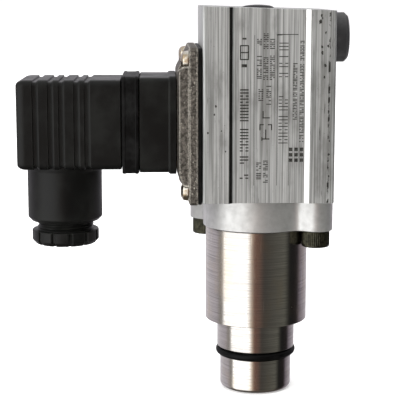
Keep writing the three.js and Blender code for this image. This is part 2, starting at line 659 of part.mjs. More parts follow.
function connectorBase() {
  const { inner, lip, face, half, lipHalf, cavity, floor } = BASE;
  const room = [PLUG_Z - cavity, PLUG_Z + cavity];
  const cut = [
    box([inner + CUT, floor], [-cavity, cavity], room),
    alongX(rod(PLUG_SCREW.radius + 0.25, face - CUT, floor + CUT, 16), 0, PLUG_Z),
    alongX(rod(3.2, floor - 2.7, floor + CUT, 6), 0, PLUG_Z),
  ];
  for (const site of PIN_SITES) {
    cut.push(bladeBox(site, PIN.halfWidth + 0.1, PIN.halfThickness + 0.1, face - CUT, floor + CUT));
  }
  for (const sign of [-1, 1]) {
    const offset = BASE_SCREW.offset * sign;
    cut.push(alongX(rod(BASE_SCREW.radius + 0.1, face - CUT, inner + CUT, 12), offset, PLUG_Z + offset));
    const recess = rod(BASE_SCREW.headRadius + 0.15, face - CUT, face + 1.9, 16);
    cut.push(alongX(recess, offset, PLUG_Z + offset));
  }
  return shape(squareX(half, 2, face, lip), { add: [squareX(lipHalf, 2.2, lip - 0.5, inner)], cut });
}

function baseScrew(offset) {
  const { radius, headRadius, headHeight, tip } = BASE_SCREW;
  const seat = BASE.face + 1.8;
  return alongX(turned([
    [0, seat - headHeight], [headRadius, seat - headHeight], [headRadius, seat],
    [radius, seat], [radius, tip], [0, tip],
  ], 12), offset, PLUG_Z + offset);
}

add('connector_base', connectorBase(), blackPlastic);
const baseNut = hexNut(BASE.floor - 2.5, BASE.floor + 0.1, 3, PLUG_SCREW.radius + 0.1);
add('base_nut', alongX(baseNut, 0, PLUG_Z), brass);
add('base_screw_lower', baseScrew(-BASE_SCREW.offset), platedSteel);
add('base_screw_upper', baseScrew(BASE_SCREW.offset), platedSteel);
['pin_1', 'pin_2', 'pin_3', 'earth_pin'].forEach((name, i) => {
  add(name, bladeBox(PIN_SITES[i], PIN.halfWidth, PIN.halfThickness, PIN.tip, PIN.inner), platedSteel);
});

// ---- plug ---------------------------------------------------------------------------------------

function connectorGasket() {
  const path = outline(SEAL.half, SEAL.half, 2, [0, PLUG_Z]);
  path.holes.push(outline(SEAL.window, SEAL.window, 1, [0, PLUG_Z]));
  return plateX(path, SEAL.outer, SEAL.inner, 4);
}

function connectorHousing() {
  const { inner, outer, half, corner, cavity, cavityEnd } = PLUG;
  const [low, high] = [PLUG_Z - half, PLUG_Z + half];
  const side = new THREE.Shape();
  side.moveTo(inner, low);
  side.lineTo(inner, high);
  side.absarc(outer + corner, high - corner, corner, Math.PI / 2, Math.PI);
  side.absarc(outer + corner, low + corner, corner, Math.PI, Math.PI * 1.5);
  const body = prism(side, half * 2, 4).rotateX(Math.PI / 2).translate(0, half, 0);
  const boss = turned([
    [0, GLAND.bossBottom], [GLAND.bossRadius - 1, GLAND.bossBottom],
    [GLAND.bossRadius, GLAND.bossBottom + 1],
    [GLAND.bossRadius, low + 2], [0, low + 2],
  ]).translate(GLAND.x, 0, 0);
  const cut = [
    box([inner + CUT, cavityEnd], [-cavity, cavity], [PLUG_Z - cavity, PLUG_Z + cavity]),
    rod(GLAND.threadBore, GLAND.bossBottom - CUT, GLAND.seat, 24).translate(GLAND.x, 0, 0),
    rod(GLAND.throat, GLAND.bossBottom, PLUG_Z, 24).translate(GLAND.x, 0, 0),
    alongX(rod(PLUG_SCREW.radius + 0.3, outer - CUT, cavityEnd + CUT, 16), 0, PLUG_Z),
    alongX(rod(PLUG_SCREW.headRadius + 0.3, outer - CUT, PLUG_SCREW.neck + 0.1), 0, PLUG_Z),
  ];
  return shape(body, { add: [boss], cut });
}

function contactBlock() {
  const { inner, outer, half } = BLOCK;
  const cut = [alongX(rod(PLUG_SCREW.radius + 0.35, outer - CUT, inner + CUT, 16), 0, PLUG_Z)];
  for (const site of PIN_SITES) {
    const { halfWidth, halfThickness, outer } = SLEEVE;
    cut.push(bladeBox(site, halfWidth + 0.1, halfThickness + 0.1, outer - 0.1, inner + CUT));
  }
  return shape(squareX(half, 0.8, outer, inner), { cut });
}

function contactSleeve(site) {
  const body = bladeBox(site, SLEEVE.halfWidth, SLEEVE.halfThickness, SLEEVE.outer, SLEEVE.inner);
  const { halfWidth, halfThickness } = PIN;
  const slot = bladeBox(site, halfWidth + 0.1, halfThickness + 0.1, SLEEVE.outer - CUT, SLEEVE.inner + CUT);
  return shape(body, { cut: [slot] });
}

function connectorScrew() {
  const { radius, headRadius, head, neck, tip } = PLUG_SCREW;
  const body = turned([
    [0, head], [headRadius - 0.4, head], [headRadius, head + 0.4], [headRadius, neck],
    [radius, neck], [radius, tip], [0, tip],
  ], SMALL);
  const slot = box([-0.4, 0.4], [-5, 5], [head - CUT, head + 1.1]);
  return alongX(shape(body, { cut: [slot] }), 0, PLUG_Z);
}

function glandNut() {
  const { radius, bottom, top, neckRadius, neckTop, bore, flutes } = NUT;
  const body = ring([
    [bore, bottom], [radius - 0.8, bottom], [radius, bottom + 0.8], [radius, top], [neckRadius, top],
    [neckRadius, neckTop], [bore, neckTop],
  ], 24);
  const cut = [];
  for (let i = 0; i < flutes; i += 1) {
    const angle = ((i + 0.4) / flutes) * Math.PI * 2;
    const flute = rod(0.7, bottom - CUT, top - 0.6, 6);
    cut.push(flute.translate(radius * Math.cos(angle), radius * Math.sin(angle), 0));
  }
  return shape(body, { cut });
}

add('connector_gasket', connectorGasket(), rubber);
add('connector_housing', connectorHousing(), blackPlastic);
add('contact_block', contactBlock(), switchPlastic);
['contact_1', 'contact_2', 'contact_3', 'earth_contact'].forEach((name, i) => {
  add(name, contactSleeve(PIN_SITES[i]), brass);
});
add('connector_screw', connectorScrew(), platedSteel);
add('gland_nut', glandNut().translate(GLAND.x, 0, 0), blackPlastic);
function glandRing({ bore, radius, bottom }, top) {
  return ring(tubeProfile(bore, radius, bottom, top), 24).translate(GLAND.x, 0, 0);
}

add('gland_washer', glandRing(WASHER, WASHER.bottom + WASHER.thickness), platedSteel);
add('gland_grommet', glandRing(GROMMET, GROMMET.top), rubber);

// ---- inner wiring -------------------------------------------------------------------------------

const terminalTop = TERMINAL.top + 0.3;
const pinBack = PIN.inner + 0.3;
const WIRES = {
  common: [[SWITCH_X, -5.1, terminalTop], [-12.9, -5.3, 69], [-16, -6.6, 69.8], [-20.5, -8.2, 67.5],
    [-25, -8.9, 63.4], [pinBack, -9, PLUG_Z]],
  no: [[SWITCH_X, 2.5, terminalTop], [-13, 2.5, 69], [-17.4, 2.8, 69.4], [-20.4, 2, 62.5],
    [-22.4, 0.8, 56], [-25, 0, 53.6], [pinBack, 0, PLUG_Z - PIN.offset]],
  nc: [[SWITCH_X, 10.1, terminalTop], [-12.9, 9.9, 69], [-16, 9.3, 69.8], [-20.5, 9, 67.5],
    [-25, 9, 63.4], [pinBack, 9, PLUG_Z]],
  earth: [[POCKET.inner - 2.3, EARTH_SCREW.y, EARTH_SCREW.z], [-12.4, -8.8, 75.4], [-15.2, -7.2, 73.2],
    [-18, -5.2, 71.4], [-21.4, -2.6, 71], [-24.6, -0.5, 71.2], [pinBack, 0, PLUG_Z + PIN.offset]],
};
const WIRE_COLOURS = { common: 0x6b4a2c, no: 0x20242c, nc: 0x2d4f7c, earth: 0x6f8a3a };

for (const [name, route] of Object.entries(WIRES)) {
  const curve = new THREE.CatmullRomCurve3(route.map((point) => new THREE.Vector3(...point)));
  add(`wire_${name}`, sweep(curve, WIRE_RADIUS, 6, 14), plastic(WIRE_COLOURS[name], 0.5));
}

export default object;
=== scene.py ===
import json
import math
import random
from functools import cache
from types import SimpleNamespace as Sizes

import bmesh
import bpy
from mathutils import Matrix, Vector


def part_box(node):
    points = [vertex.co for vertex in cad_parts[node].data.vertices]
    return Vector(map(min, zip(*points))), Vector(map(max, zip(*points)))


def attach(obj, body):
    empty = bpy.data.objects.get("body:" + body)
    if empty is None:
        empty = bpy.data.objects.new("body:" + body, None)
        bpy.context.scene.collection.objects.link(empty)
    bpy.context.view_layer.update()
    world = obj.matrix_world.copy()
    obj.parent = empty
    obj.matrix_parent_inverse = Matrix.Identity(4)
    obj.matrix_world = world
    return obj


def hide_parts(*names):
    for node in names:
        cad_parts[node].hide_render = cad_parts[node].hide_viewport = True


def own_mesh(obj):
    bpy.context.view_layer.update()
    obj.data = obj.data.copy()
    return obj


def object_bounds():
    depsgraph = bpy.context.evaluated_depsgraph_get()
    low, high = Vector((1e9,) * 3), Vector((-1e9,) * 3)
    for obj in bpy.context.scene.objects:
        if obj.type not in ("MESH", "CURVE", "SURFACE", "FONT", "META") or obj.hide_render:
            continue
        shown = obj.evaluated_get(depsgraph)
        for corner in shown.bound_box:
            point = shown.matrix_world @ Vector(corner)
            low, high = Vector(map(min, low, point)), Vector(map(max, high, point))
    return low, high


# A plug-in pressure switch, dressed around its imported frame. Lengths here are millimetres, and each
# finished mesh is scaled to metres once. +X points away from the connector, the label faces -Y.

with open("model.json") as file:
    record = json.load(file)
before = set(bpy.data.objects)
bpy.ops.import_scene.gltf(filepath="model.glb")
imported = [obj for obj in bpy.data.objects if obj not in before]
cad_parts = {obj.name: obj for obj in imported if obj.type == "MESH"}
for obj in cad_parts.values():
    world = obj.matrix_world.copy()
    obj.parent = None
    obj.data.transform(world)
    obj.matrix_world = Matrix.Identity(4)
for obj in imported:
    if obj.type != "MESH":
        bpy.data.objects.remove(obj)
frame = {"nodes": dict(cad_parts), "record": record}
CAD_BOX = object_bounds()
SLOT_OF = {row["node"]: row["material_slot"] for row in frame["record"]["subparts"]}
BODY_OF = {node: body for body, nodes in frame["record"]["behaviour"]["bodies"].items() for node in nodes}

MM = 0.001
TURN = 2 * math.pi
MERGE = 0.0004                  # corners closer than this are one corner
SHARP = math.radians(32)        # edges steeper than this stay crisp
PAST = 1                        # how far a cutting solid runs past the face that it opens


@cache
def box_mm(node):
    """A CAD node's lowest and highest corners at rest."""
    low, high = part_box(node)
    return low / MM, high / MM


def centre_mm(node):
    low, high = box_mm(node)
    return (low + high) / 2


# ---- driving dimensions ----

BARREL = Sizes(neck=12.2, bush=6.6, rod=4.6, spigot=9.2, collar_depth=2, floor=16.5, chamfer=0.16)
NOSE = Sizes(draw_in=1, groove=10.2, port=4.6, bore=3.05, round=1.4)
NOSE_LEVELS = Sizes(groove=(-11.8, -9), collar=1.8, spigot=16.3, head=11, seal=(-9.2, -7), port=-14.2)
O_RING = Sizes(section=1.1, level=-10.4)

SPRING = Sizes(wire=0.85, turns=7.5, dead=0.8, slack=0.5, travel=4.9)

FLANGE = Sizes(radius=16.5, ear=5.1, fillet=4, bore=12.4, hole=2.3)
CAP_SCREW = Sizes(head=4.25, shank=2.1, socket=2.15, deep=2.6, knurls=44, tapped=2.25, thread=6)

RECESS = Sizes(left=-9.5, right=13.9, depth=1.1, bevel=1.2)
LABEL_RULES = (7.2, 13.9, 17.4)  # across the recess from its left edge
LABEL_ROWS = (                  # tick height, line width, and each row's place across, foot and head
    (2.5, 0.4, ((4.3, 46.6, 61.6), (4.3, 63.6, 73.4))),
    (2.7, 0.26, ((15.7, 57, 71), (15.7, 76.4, 86.2))),
    (1.45, 0.28, ((8.6, 46.4, 51.6), (10.6, 45.4, 52), (9.1, 69, 73), (11.4, 68.4, 74.2), (8.6, 76, 82.6),
                  (10.5, 75.6, 82), (12.4, 75.6, 82.4), (8.6, 84.6, 87.6), (10.5, 84.6, 88.8),
                  (12.4, 84.6, 87.4))),
    (1.25, 0.26, ((19.1, 64, 81), (21.1, 57.4, 87))),
)
CONTACT = (                     # a changeover contact: a common bar with a lever between two fixed ones
    (0, -2.2, 2.2, 0.34), (-1.1, -2.2, 0.34, 1.1), (0, -0.8, 0.34, 2.8), (-1.7, 1.2, 0.34, 1.7),
    (-1.2, 2, 1.2, 0.34), (1.7, 1.2, 0.34, 1.7), (1.2, 2, 1.2, 0.34), (0.1, 4, 2.2, 0.34), (-0.8, 5, 0.34, 2),
)
CROSSED_BOX = (                 # a box with a bar across it, between two dashes
    (-1.15, 0, 0.36, 4.2), (1.15, 0, 0.36, 4.2), (0, -2, 2.3, 0.36), (0, 0, 2.3, 0.36), (0, 2, 2.3, 0.36),
    (-0.05, 4, 1.2, 0.5), (-0.05, -3.8, 1.6, 0.9),
)
DOTS = [(x, z, 1.05, 1.05) for x in (-1.6, 0, 1.6) for z in (-1.6, 0, 1.6)]  # where the object has a badge
LABEL_SYMBOLS = (               # each one's place across the recess, its height and its bars
    (10.6, 60.4, CONTACT), (19.6, 53.5, DOTS), (4.25, 83.4, CROSSED_BOX),
    (16.9, 88.6, ((0, 0, 6, 0.22), (-2.5, -0.1, 1.6, 0.3))),
)
HOUSING = Sizes(fall=1.2, corner=1.2, edge=0.15)
STREAK = (19.2, 19.7)           # across the housing: a long dark die mark down its right slab
POCKET = Sizes(x=-8.4, half=13, low=46.5, high=79, slot=3, slot_top=53)
BORES = Sizes(
    spring=6.3, spindle=4.75, cap=5.2, knob=2.2, tap=4, spring_top=85.2, cap_floor=92.4,
    cap_lead=(95.7, 96.3), neck_top=45.2,
)

COVER = Sizes(flange=-21, corner=3, foot=(46.8, 78.3, 18.8), face=(47.4, 77.8, 15))
GASKET = Sizes(half=12, below=15, top=77.3)
COVER_SCREW = Sizes(head=2.8, height=2.7, shank=1.45)
BASE = Sizes(lip=-27.2, half=14.75, cavity=10.3, floor=-31)
PIN_SLOT = Sizes(reach=9, halves=(3.25, 0.5))
BASE_SCREW = Sizes(hole=1.4, head=2.15, deep=1.9)
SEAL_WINDOW = 11.5
PLUG = Sizes(half=14, corner=2.4, end=2.6, cavity=11.5, wall=3.7, short=0.8)
CROWN_DROP = 1.2                # how much flatter the connector's tops are than their packed squares
GROOVES = Sizes(places=(6.4, 10.9, 14.1, 18.6, 21.7), width=1.4, depth=0.55, steep=0.1, gentle=0.75)
BOSS = Sizes(radius=11.4, chamfer=1.1, bore=9, seat=47.6, throat=7)
NUT = Sizes(neck=8.7, lobes=12, slot=0.75, shoulder=28.6, bore=4.8, pitch=1.5)
PLUG_SCREW = Sizes(head=2.9, shank=1.5, slot=0.8)
FLANGE_SCREWS = [f"flange_screw_{side}" for side in ("front", "back")]
COVER_SCREWS = [f"cover_screw_{level}_{side}" for level in ("lower", "upper") for side in ("front", "back")]


# ---- outlines and solids ----

def rounded(points, radius, steps=4):
    """A closed outline with its corners rounded. A point may carry a radius of its own."""
    made = []
    for i, point in enumerate(points):
        corner = Vector(point[:2])
        back = Vector(points[i - 1][:2]) - corner
        ahead = Vector(points[(i + 1) % len(points)][:2]) - corner
        size = point[2] if len(point) > 2 else radius
        half = back.angle(ahead) / 2
        reach = min(size / math.tan(half), 0.49 * back.length, 0.49 * ahead.length)
        if reach < 0.005:
            made.append(corner)
            continue
        start = corner + back.normalized() * reach
        end = corner + ahead.normalized() * reach
        for k in range(steps + 1):
            t = k / steps
            made.append(start * (1 - t) ** 2 + corner * (2 * t * (1 - t)) + end * t ** 2)
    return made


def inset(outline, distance):
    """An anticlockwise outline drawn in by a distance."""
    made = []
    for i, point in enumerate(outline):
        before = (point - outline[i - 1]).normalized()
        after = (outline[(i + 1) % len(outline)] - point).normalized()
        inward = [Vector((-way.y, way.x)) for way in (before, after)]
        made.append(point + (inward[0] + inward[1]) * distance / (1 + inward[0].dot(inward[1])))
    return made


def arc(x, y, radius, start, sweep, steps):
    """Points along an arc, both ends included."""
    angles = [start + sweep * k / steps for k in range(steps + 1)]
    return [Vector((x + radius * math.cos(a), y + radius * math.sin(a))) for a in angles]


def placed(name, data):
    """A new object in the scene."""
    made = bpy.data.objects.new(name, data)
    bpy.context.scene.collection.objects.link(made)
    return made


def from_bmesh(name, mesh):
    data = bpy.data.meshes.new(name)
    mesh.to_mesh(data)
    mesh.free()
    return placed(name, data)


def solid(mesh):
    """A scene object from a bmesh in millimetres."""
    bmesh.ops.remove_doubles(mesh, verts=mesh.verts, dist=MERGE)
    bmesh.ops.recalc_face_normals(mesh, faces=mesh.faces)
    return from_bmesh("solid", mesh)


def skin(rings, closed=False):
    """A solid skinned over rings of equal count, capped at both ends unless the last joins the first."""
    mesh = bmesh.new()
    rows = [[mesh.verts.new(point) for point in ring] for ring in rings]
    pairs = list(zip(rows, rows[1:]))
    if closed:
        pairs.append((rows[-1], rows[0]))
    for near, far in pairs:
        for i in range(len(near)):
            j = (i + 1) % len(near)
            mesh.faces.new((near[i], near[j], far[j], far[i]))
    if not closed:
        mesh.faces.new(rows[0])
        mesh.faces.new(rows[-1])
    return solid(mesh)


def prism(outline, low, high, edge):
    """An outline raised from low to high, its rims rounded."""
    steps = 3
    arc_angles = [math.pi / 2 * k / steps for k in range(steps + 1)]
    rise = [(edge * (1 - math.sin(a)), low + edge * (1 - math.cos(a))) for a in arc_angles]
    fall = [(amount, low + high - level) for amount, level in reversed(rise)]
    return skin([[(p.x, p.y, level) for p in inset(outline, amount)] for amount, level in rise + fall])


def lathe(profile, steps=96, change=None):
    """A closed (radius, height) profile turned about Z. change(radius, height, angle) may reshape it."""
    rings = []
    for k in range(steps):
        angle = TURN * k / steps
        ring = []
        for radius, height in profile:
            r = change(radius, height, angle) if change else radius
            ring.append((r * math.cos(angle), r * math.sin(angle), height))
        rings.append(ring)
    return skin(rings, closed=True)


def turned(points, size, detail=4, steps=96, change=None):
    """A lathe solid from a profile with its corners rounded."""
    return lathe(rounded(points, size, detail), steps, change)


def ridged(rim, count, depth, low, high, fade):
    """A change for lathe: ridges round a rim between two heights, fading out at both."""
    def change(radius, height, angle):
        band = min(max((height - low) / fade, 0), max((high - height) / fade, 0), 1)
        return radius - depth * band * (0.5 + 0.5 * math.cos(count * angle)) * (radius > rim - 0.05)
    return change


def rod(radius, low, high, steps=32):
    return lathe([(0, low), (radius, low), (radius, high), (0, high)], steps)


def block(x, y, z):
    """A plain cutting block between two values on each axis."""
    corners = [(x[0], y[0]), (x[1], y[0]), (x[1], y[1]), (x[0], y[1])]
    return skin([[(*corner, level) for corner in corners] for level in z])


def window(near, far, half, z):
    """A square cutting block along X, centred on a height."""
    return block((near, far), (-half, half), (z - half, z + half))


def square(low, high, half, corner):
    """A rounded rectangle in the YZ plane, Z from low to high and Y to half each way."""
    return rounded([(-half, low), (half, low), (half, high), (-half, high)], corner, 6)


def slab(mesh, outline, near, far):
    """Adds to a bmesh the solid between two Y values over an (x, z) outline."""
    rows = [[mesh.verts.new((x, y, z)) for x, z in outline] for y in (near, far)]
    mesh.faces.new(rows[0])
    mesh.faces.new(reversed(rows[1]))
    for i in range(len(outline)):
        j = (i + 1) % len(outline)
        mesh.faces.new((rows[0][j], rows[0][i], rows[1][i], rows[1][j]))


def loft_x(sections):
    """A solid skinned along X through (x, outline, how far it is drawn in) sections."""
    return skin([[(x, p.x, p.y) for p in inset(outline, amount)] for x, outline, amount in sections])


def moved(made, x=0, y=0, z=0):
    made.data.transform(Matrix.Translation((x, y, z)))
    return made


def along_x(made, y, z):
    """Turns a solid that stands along Z to lie along X, at y and z."""
    made.data.transform(Matrix(((0, 0, 1, 0), (1, 0, 0, y), (0, 1, 0, z), (0, 0, 0, 1))))
    return made


def cleaned(data):
    """Merges the corners that a boolean leaves almost on top of each other."""
    mesh = bmesh.new()
    mesh.from_mesh(data)
    bmesh.ops.remove_doubles(mesh, verts=mesh.verts, dist=MERGE)
    bmesh.ops.dissolve_degenerate(mesh, edges=mesh.edges, dist=MERGE)
    mesh.to_mesh(data)
    mesh.free()
    return data


def combine(target, operation, tools):
    for tool in tools:
        step = target.modifiers.new(operation, "BOOLEAN")
        step.operation = operation
        step.solver = "EXACT"
        step.object = tool
    graph = bpy.context.evaluated_depsgraph_get()
    mesh = bpy.data.meshes.new_from_object(target.evaluated_get(graph))
    target.modifiers.clear()
    target.data = cleaned(mesh)
    for tool in tools:
        bpy.data.objects.remove(tool)
    return target


def cut(target, *tools):
    return combine(target, "DIFFERENCE", tools)


def join(target, *tools):
    return combine(target, "UNION", tools)


def piece(made, name, slot, body="case", nodes=(), look=None):
    """Finishes a solid as a shown piece: metres, crisp edges, material, body and what it stands for."""
    made.name = name
    made.data.name = name
    made.data.transform(Matrix.Scale(MM, 4))
    made.data.materials.clear()
    made.data.materials.append(LOOKS[look or slot])
    made.data.shade_smooth()
    made.data.set_sharp_from_angle(angle=SHARP)
    normals = made.modifiers.new("normals", "WEIGHTED_NORMAL")
    normals.keep_sharp = True
    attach(made, body)
    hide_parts(*nodes)
    return made


def stand_in(made, node, finish, slot=None):
    """A piece in place of one CAD node, on its body and, unless another is given, in its slot."""
    return piece(made, f"{node}_{finish}", slot or SLOT_OF[node], BODY_OF[node], [node])


# ---- material building ----

class Nodes:
    """Shader nodes made and linked in one tree."""

    def __init__(self, tree):
        self.tree = tree

    def add(self, kind, **settings):
        node = self.tree.nodes.new("ShaderNode" + kind)
        for key, value in settings.items():
            setattr(node, key, value)
        return node

    def link(self, source, target):
        if hasattr(source, "links"):
            self.tree.links.new(source, target)
        else:
            target.default_value = source

    def range(self, source, from_low, from_high, low=0.0, high=1.0):
        node = self.add("MapRange", interpolation_type="SMOOTHSTEP")
        for socket, value in zip(node.inputs[1:5], (from_low, from_high, low, high)):
            socket.default_value = value
        self.link(source, node.inputs["Value"])
        return node.outputs["Result"]

    def math(self, operation, *values):
        node = self.add("Math", operation=operation)
        for value, socket in zip(values, node.inputs):
            self.link(value, socket)
        return node.outputs["Value"]

    def mix(self, amount, a, b):
        node = self.add("Mix", data_type="RGBA")
        self.link(amount, node.inputs["Factor"])
        for value, socket in ((a, node.inputs[6]), (b, node.inputs[7])):
            self.link(value if hasattr(value, "links") else (*value, 1), socket)
        return node.outputs[2]


class Look(Nodes):
    """A procedural material. Noise is measured in the object's own millimetres."""

    def __init__(self, name, metallic, specular=0.5, ior=1.5):
        self.material = bpy.data.materials.new(name + "_look")
        self.material.use_nodes = True
        super().__init__(self.material.node_tree)
        self.shader = self.tree.nodes["Principled BSDF"]
        for key, value in (("Metallic", metallic), ("Specular IOR Level", specular), ("IOR", ior)):
            self.shader.inputs[key].default_value = value
        self.place = self.add("TexCoord").outputs["Object"]

    def noise(self, per_mm, stretch=(1, 1, 1), detail=4.0, rough=0.6, offset=0.0):
        """Fractal noise with per_mm cells a millimetre, drawn out along an axis by a small stretch."""
        mapping = self.add("Mapping")
        mapping.inputs["Scale"].default_value = [per_mm * s / MM for s in stretch]
        mapping.inputs["Location"].default_value = (offset, offset, offset)
        self.link(self.place, mapping.inputs["Vector"])
        node = self.add("TexNoise")
        node.inputs["Scale"].default_value = 1
        node.inputs["Detail"].default_value = detail
        node.inputs["Roughness"].default_value = rough
        self.link(mapping.outputs["Vector"], node.inputs["Vector"])
        return node.outputs["Fac"]

    def edges(self, width):
        """1 on outer and inner edges within a width, 0 on open faces."""
        bevel = self.add("Bevel", samples=4)
        bevel.inputs["Radius"].default_value = width * MM
        dot = self.add("VectorMath", operation="DOT_PRODUCT")
        self.link(bevel.outputs["Normal"], dot.inputs[0])
        self.link(self.add("NewGeometry").outputs["Normal"], dot.inputs[1])
        return self.range(dot.outputs["Value"], 0.995, 0.9)

    def band(self, source, low, high):
        """1 between two values, 0 outside them, with a soft tenth of a millimetre each side."""
        above, below = self.range(source, low - 0.1, low), self.range(source, high + 0.1, high)
        return self.math("MULTIPLY", above, below)

    def height(self, axis):
        """The object's own coordinate along an axis, in millimetres."""
        split = self.add("SeparateXYZ")
        self.link(self.place, split.inputs["Vector"])
        return self.math("MULTIPLY", split.outputs[axis], 1 / MM)

    def bump(self, source, depth, under=None):
        node = self.add("Bump")
        node.inputs["Distance"].default_value = depth * MM
        self.link(source, node.inputs["Height"])
        if under:
            self.link(under, node.inputs["Normal"])
        return node.outputs["Normal"]

    def tint(self, source, low, high, shade, most=1.0):
        """Lays a shade over the colour so far, from none at low to most of it at high."""
        self.colour = self.mix(self.range(source, low, high, 0, most), self.colour, shade)

    def edge_wear_and_highlight(self, width, amount, shade):
        """Lays a shade over the edges: rubbed wear, and on the extruded bar also a painted highlight."""
        self.colour = self.mix(self.math("MULTIPLY", self.edges(width), amount), self.colour, shade)

    def done(self, roughness, normal):
        self.link(self.colour, self.shader.inputs["Base Color"])
        self.link(roughness, self.shader.inputs["Roughness"])
        self.link(normal, self.shader.inputs["Normal"])
        return self.material


# ---- materials ----

def scaled(shade, share):
    return tuple(c * share for c in shade)


def extruded_aluminium():
    """Dull extruded bar: die lines along its length, smudges, oxide specks, and rubbed edges with a painted
    highlight along them; the recess's bevels carry painted shade and a painted highlight.
    """
    look = Look("extruded_aluminium", 0.5)
    fine = look.noise(1.9, (1, 1, 0.012), 6)
    broad = look.noise(0.24, (1, 1, 0.05), 3)
    smudge = look.noise(0.16, (1, 1, 0.4), 4, offset=7)
    look.colour = look.mix(look.range(fine, 0.3, 0.7), (0.2, 0.203, 0.197), (0.56, 0.57, 0.56))
    look.tint(broad, 0.48, 0.7, (0.15, 0.15, 0.14), 0.65)
    look.tint(smudge, 0.48, 0.74, (0.11, 0.11, 0.1), 0.55)
    across, front = look.height("X"), look.range(look.height("Y"), -19, -19.2)
    rubbed = look.range(look.noise(0.5, detail=4, offset=15), 0.46, 0.6)
    for low, high, amount, shade in (
        (*STREAK, rubbed, (0.03, 0.03, 0.026)),
        # Painted shade: the recess's left bevel, turned away from the light, painted near black.
        (RECESS.left - 0.15, RECESS.left + 0.75, 1, (0.006, 0.006, 0.005)),
        # Painted highlight: the recess's right bevel, facing the light, painted white.
        (RECESS.right - 1.25, RECESS.right, 1, (1, 1, 0.99)),
    ):
        stripe = look.math("MULTIPLY", look.band(across, low, high), front)
        look.colour = look.mix(look.math("MULTIPLY", stripe, amount), look.colour, shade)
    stained = look.range(look.noise(1.5, (1, 1, 0.09), 3, offset=3), 0.63, 0.72)
    stain = look.math("MULTIPLY", stained, look.range(broad, 0.45, 0.62))
    look.colour = look.mix(stain, look.colour, (0.05, 0.048, 0.042))
    look.tint(look.noise(3.2, detail=1, offset=11), 0.75, 0.8, (0.04, 0.04, 0.035))
    # Lighter edges: rubbed metal, with a painted highlight laid along them.
    look.edge_wear_and_highlight(0.12, 0.4, (0.7, 0.7, 0.68))
    grain = look.bump(look.noise(9, (1, 1, 0.2), 2), 0.006)
    return look.done(look.range(fine, 0.25, 0.8, 0.5, 0.34), look.bump(fine, 0.03, grain))


def machined_aluminium():
    """Bright bead of machined aluminium: faint tool lines round its edge and soft blotches."""
    look = Look("machined_aluminium", 0.75)
    tool = look.noise(3.2, (0.03, 0.03, 1), 3)
    blotch = look.noise(0.35, detail=5)
    look.colour = look.mix(look.range(blotch, 0.3, 0.8), (0.6, 0.6, 0.59), (0.48, 0.48, 0.47))
    look.tint(look.noise(2.6, offset=5), 0.68, 0.76, (0.3, 0.29, 0.27))
    look.edge_wear_and_highlight(0.2, 0.5, (0.8, 0.79, 0.77))
    grain = look.bump(look.noise(7, detail=2), 0.006)
    return look.done(look.range(blotch, 0.3, 0.75, 0.38, 0.5), look.bump(tool, 0.012, grain))


def turned_steel(name="turned_steel", shade=(0.66, 0.63, 0.6), low=0.1, high=0.24):
    """Fine-turned steel: close lathe lines, oil-tinted patches and light handling scratches."""
    look = Look(name, 1)
    lines = look.noise(4.5, (0.012, 0.012, 1), 4, 0.75)
    film = look.noise(0.13, (1, 1, 0.5), 4)
    warm = (shade[0] * 0.95, shade[1] * 0.86, shade[2] * 0.72)
    look.colour = look.mix(look.range(lines, 0.35, 0.72), shade, scaled(shade, 0.62))
    look.tint(film, 0.48, 0.7, warm, 0.55)
    look.tint(look.noise(1.4, (1, 1, 0.05), 2, offset=9), 0.66, 0.72, (0.85, 0.84, 0.82), 0.5)
    rough = look.math("ADD", look.range(lines, 0.3, 0.75, low, high), look.range(film, 0.4, 0.75, 0, 0.06))
    return look.done(rough, look.bump(lines, 0.0035))


def cast_cover():
    """Blackened sand-cast cover: coarse skin, pale flecks and bright metal on rubbed edges."""
    look = Look("cast_cover", 0.75)
    coarse = look.noise(1.3, detail=6, rough=0.7)
    look.colour = look.mix(look.range(coarse, 0.35, 0.68), (0.045, 0.04, 0.034), (0.2, 0.18, 0.155))
    look.tint(look.noise(2.4, (1, 1, 0.6), 3, offset=4), 0.62, 0.7, (0.62, 0.58, 0.5))
    look.edge_wear_and_highlight(0.7, look.range(coarse, 0.3, 0.6, 0.35, 1), (0.66, 0.63, 0.56))
    pits = look.bump(look.noise(4.5, detail=2), 0.05)
    return look.done(look.range(coarse, 0.3, 0.75, 0.72, 0.42), look.bump(coarse, 0.22, pits))


def plated_screw():
    """Zinc plate: bright, with straw and grey patches and dull spots."""
    look = Look("plated_screw", 1)
    patch = look.noise(0.8, detail=4)
    look.colour = look.mix(look.range(patch, 0.35, 0.68), (0.66, 0.64, 0.58), (0.42, 0.32, 0.2))
    look.tint(look.noise(3, offset=6), 0.62, 0.74, (0.22, 0.19, 0.15))
    return look.done(look.range(patch, 0.3, 0.7, 0.14, 0.34), look.bump(look.noise(5), 0.006))


def moulded(name, shade, dusty, low, high):
    """Spark-textured moulded plastic: fine grain, handling shine and grey dust in broad patches."""
    look = Look(name, 0, specular=0.24, ior=1.45)
    patch = look.noise(0.11, detail=5)
    look.colour = look.mix(look.range(patch, 0.4, 0.72), shade, dusty)
    look.tint(look.noise(1.8, detail=3, offset=2), 0.68, 0.8, scaled(dusty, 2.2), 0.45)
    look.edge_wear_and_highlight(0.3, 0.55, scaled(dusty, 3))
    return look.done(look.range(patch, 0.35, 0.7, low, high), look.bump(look.noise(7, detail=2), 0.018))


def patchy(name, metallic, patch, spread, shades, rough, grain, worn=None, **gloss):
    """Two shades in noise patches, a roughness that follows them, a fine grain and perhaps worn edges."""
    look = Look(name, metallic, **gloss)
    patches = look.noise(patch[0], detail=patch[1])
    look.colour = look.mix(look.range(patches, *spread), *shades)
    if worn:
        look.edge_wear_and_highlight(*worn)
    return look.done(look.range(patches, *rough), look.bump(look.noise(grain[0]), grain[1]))


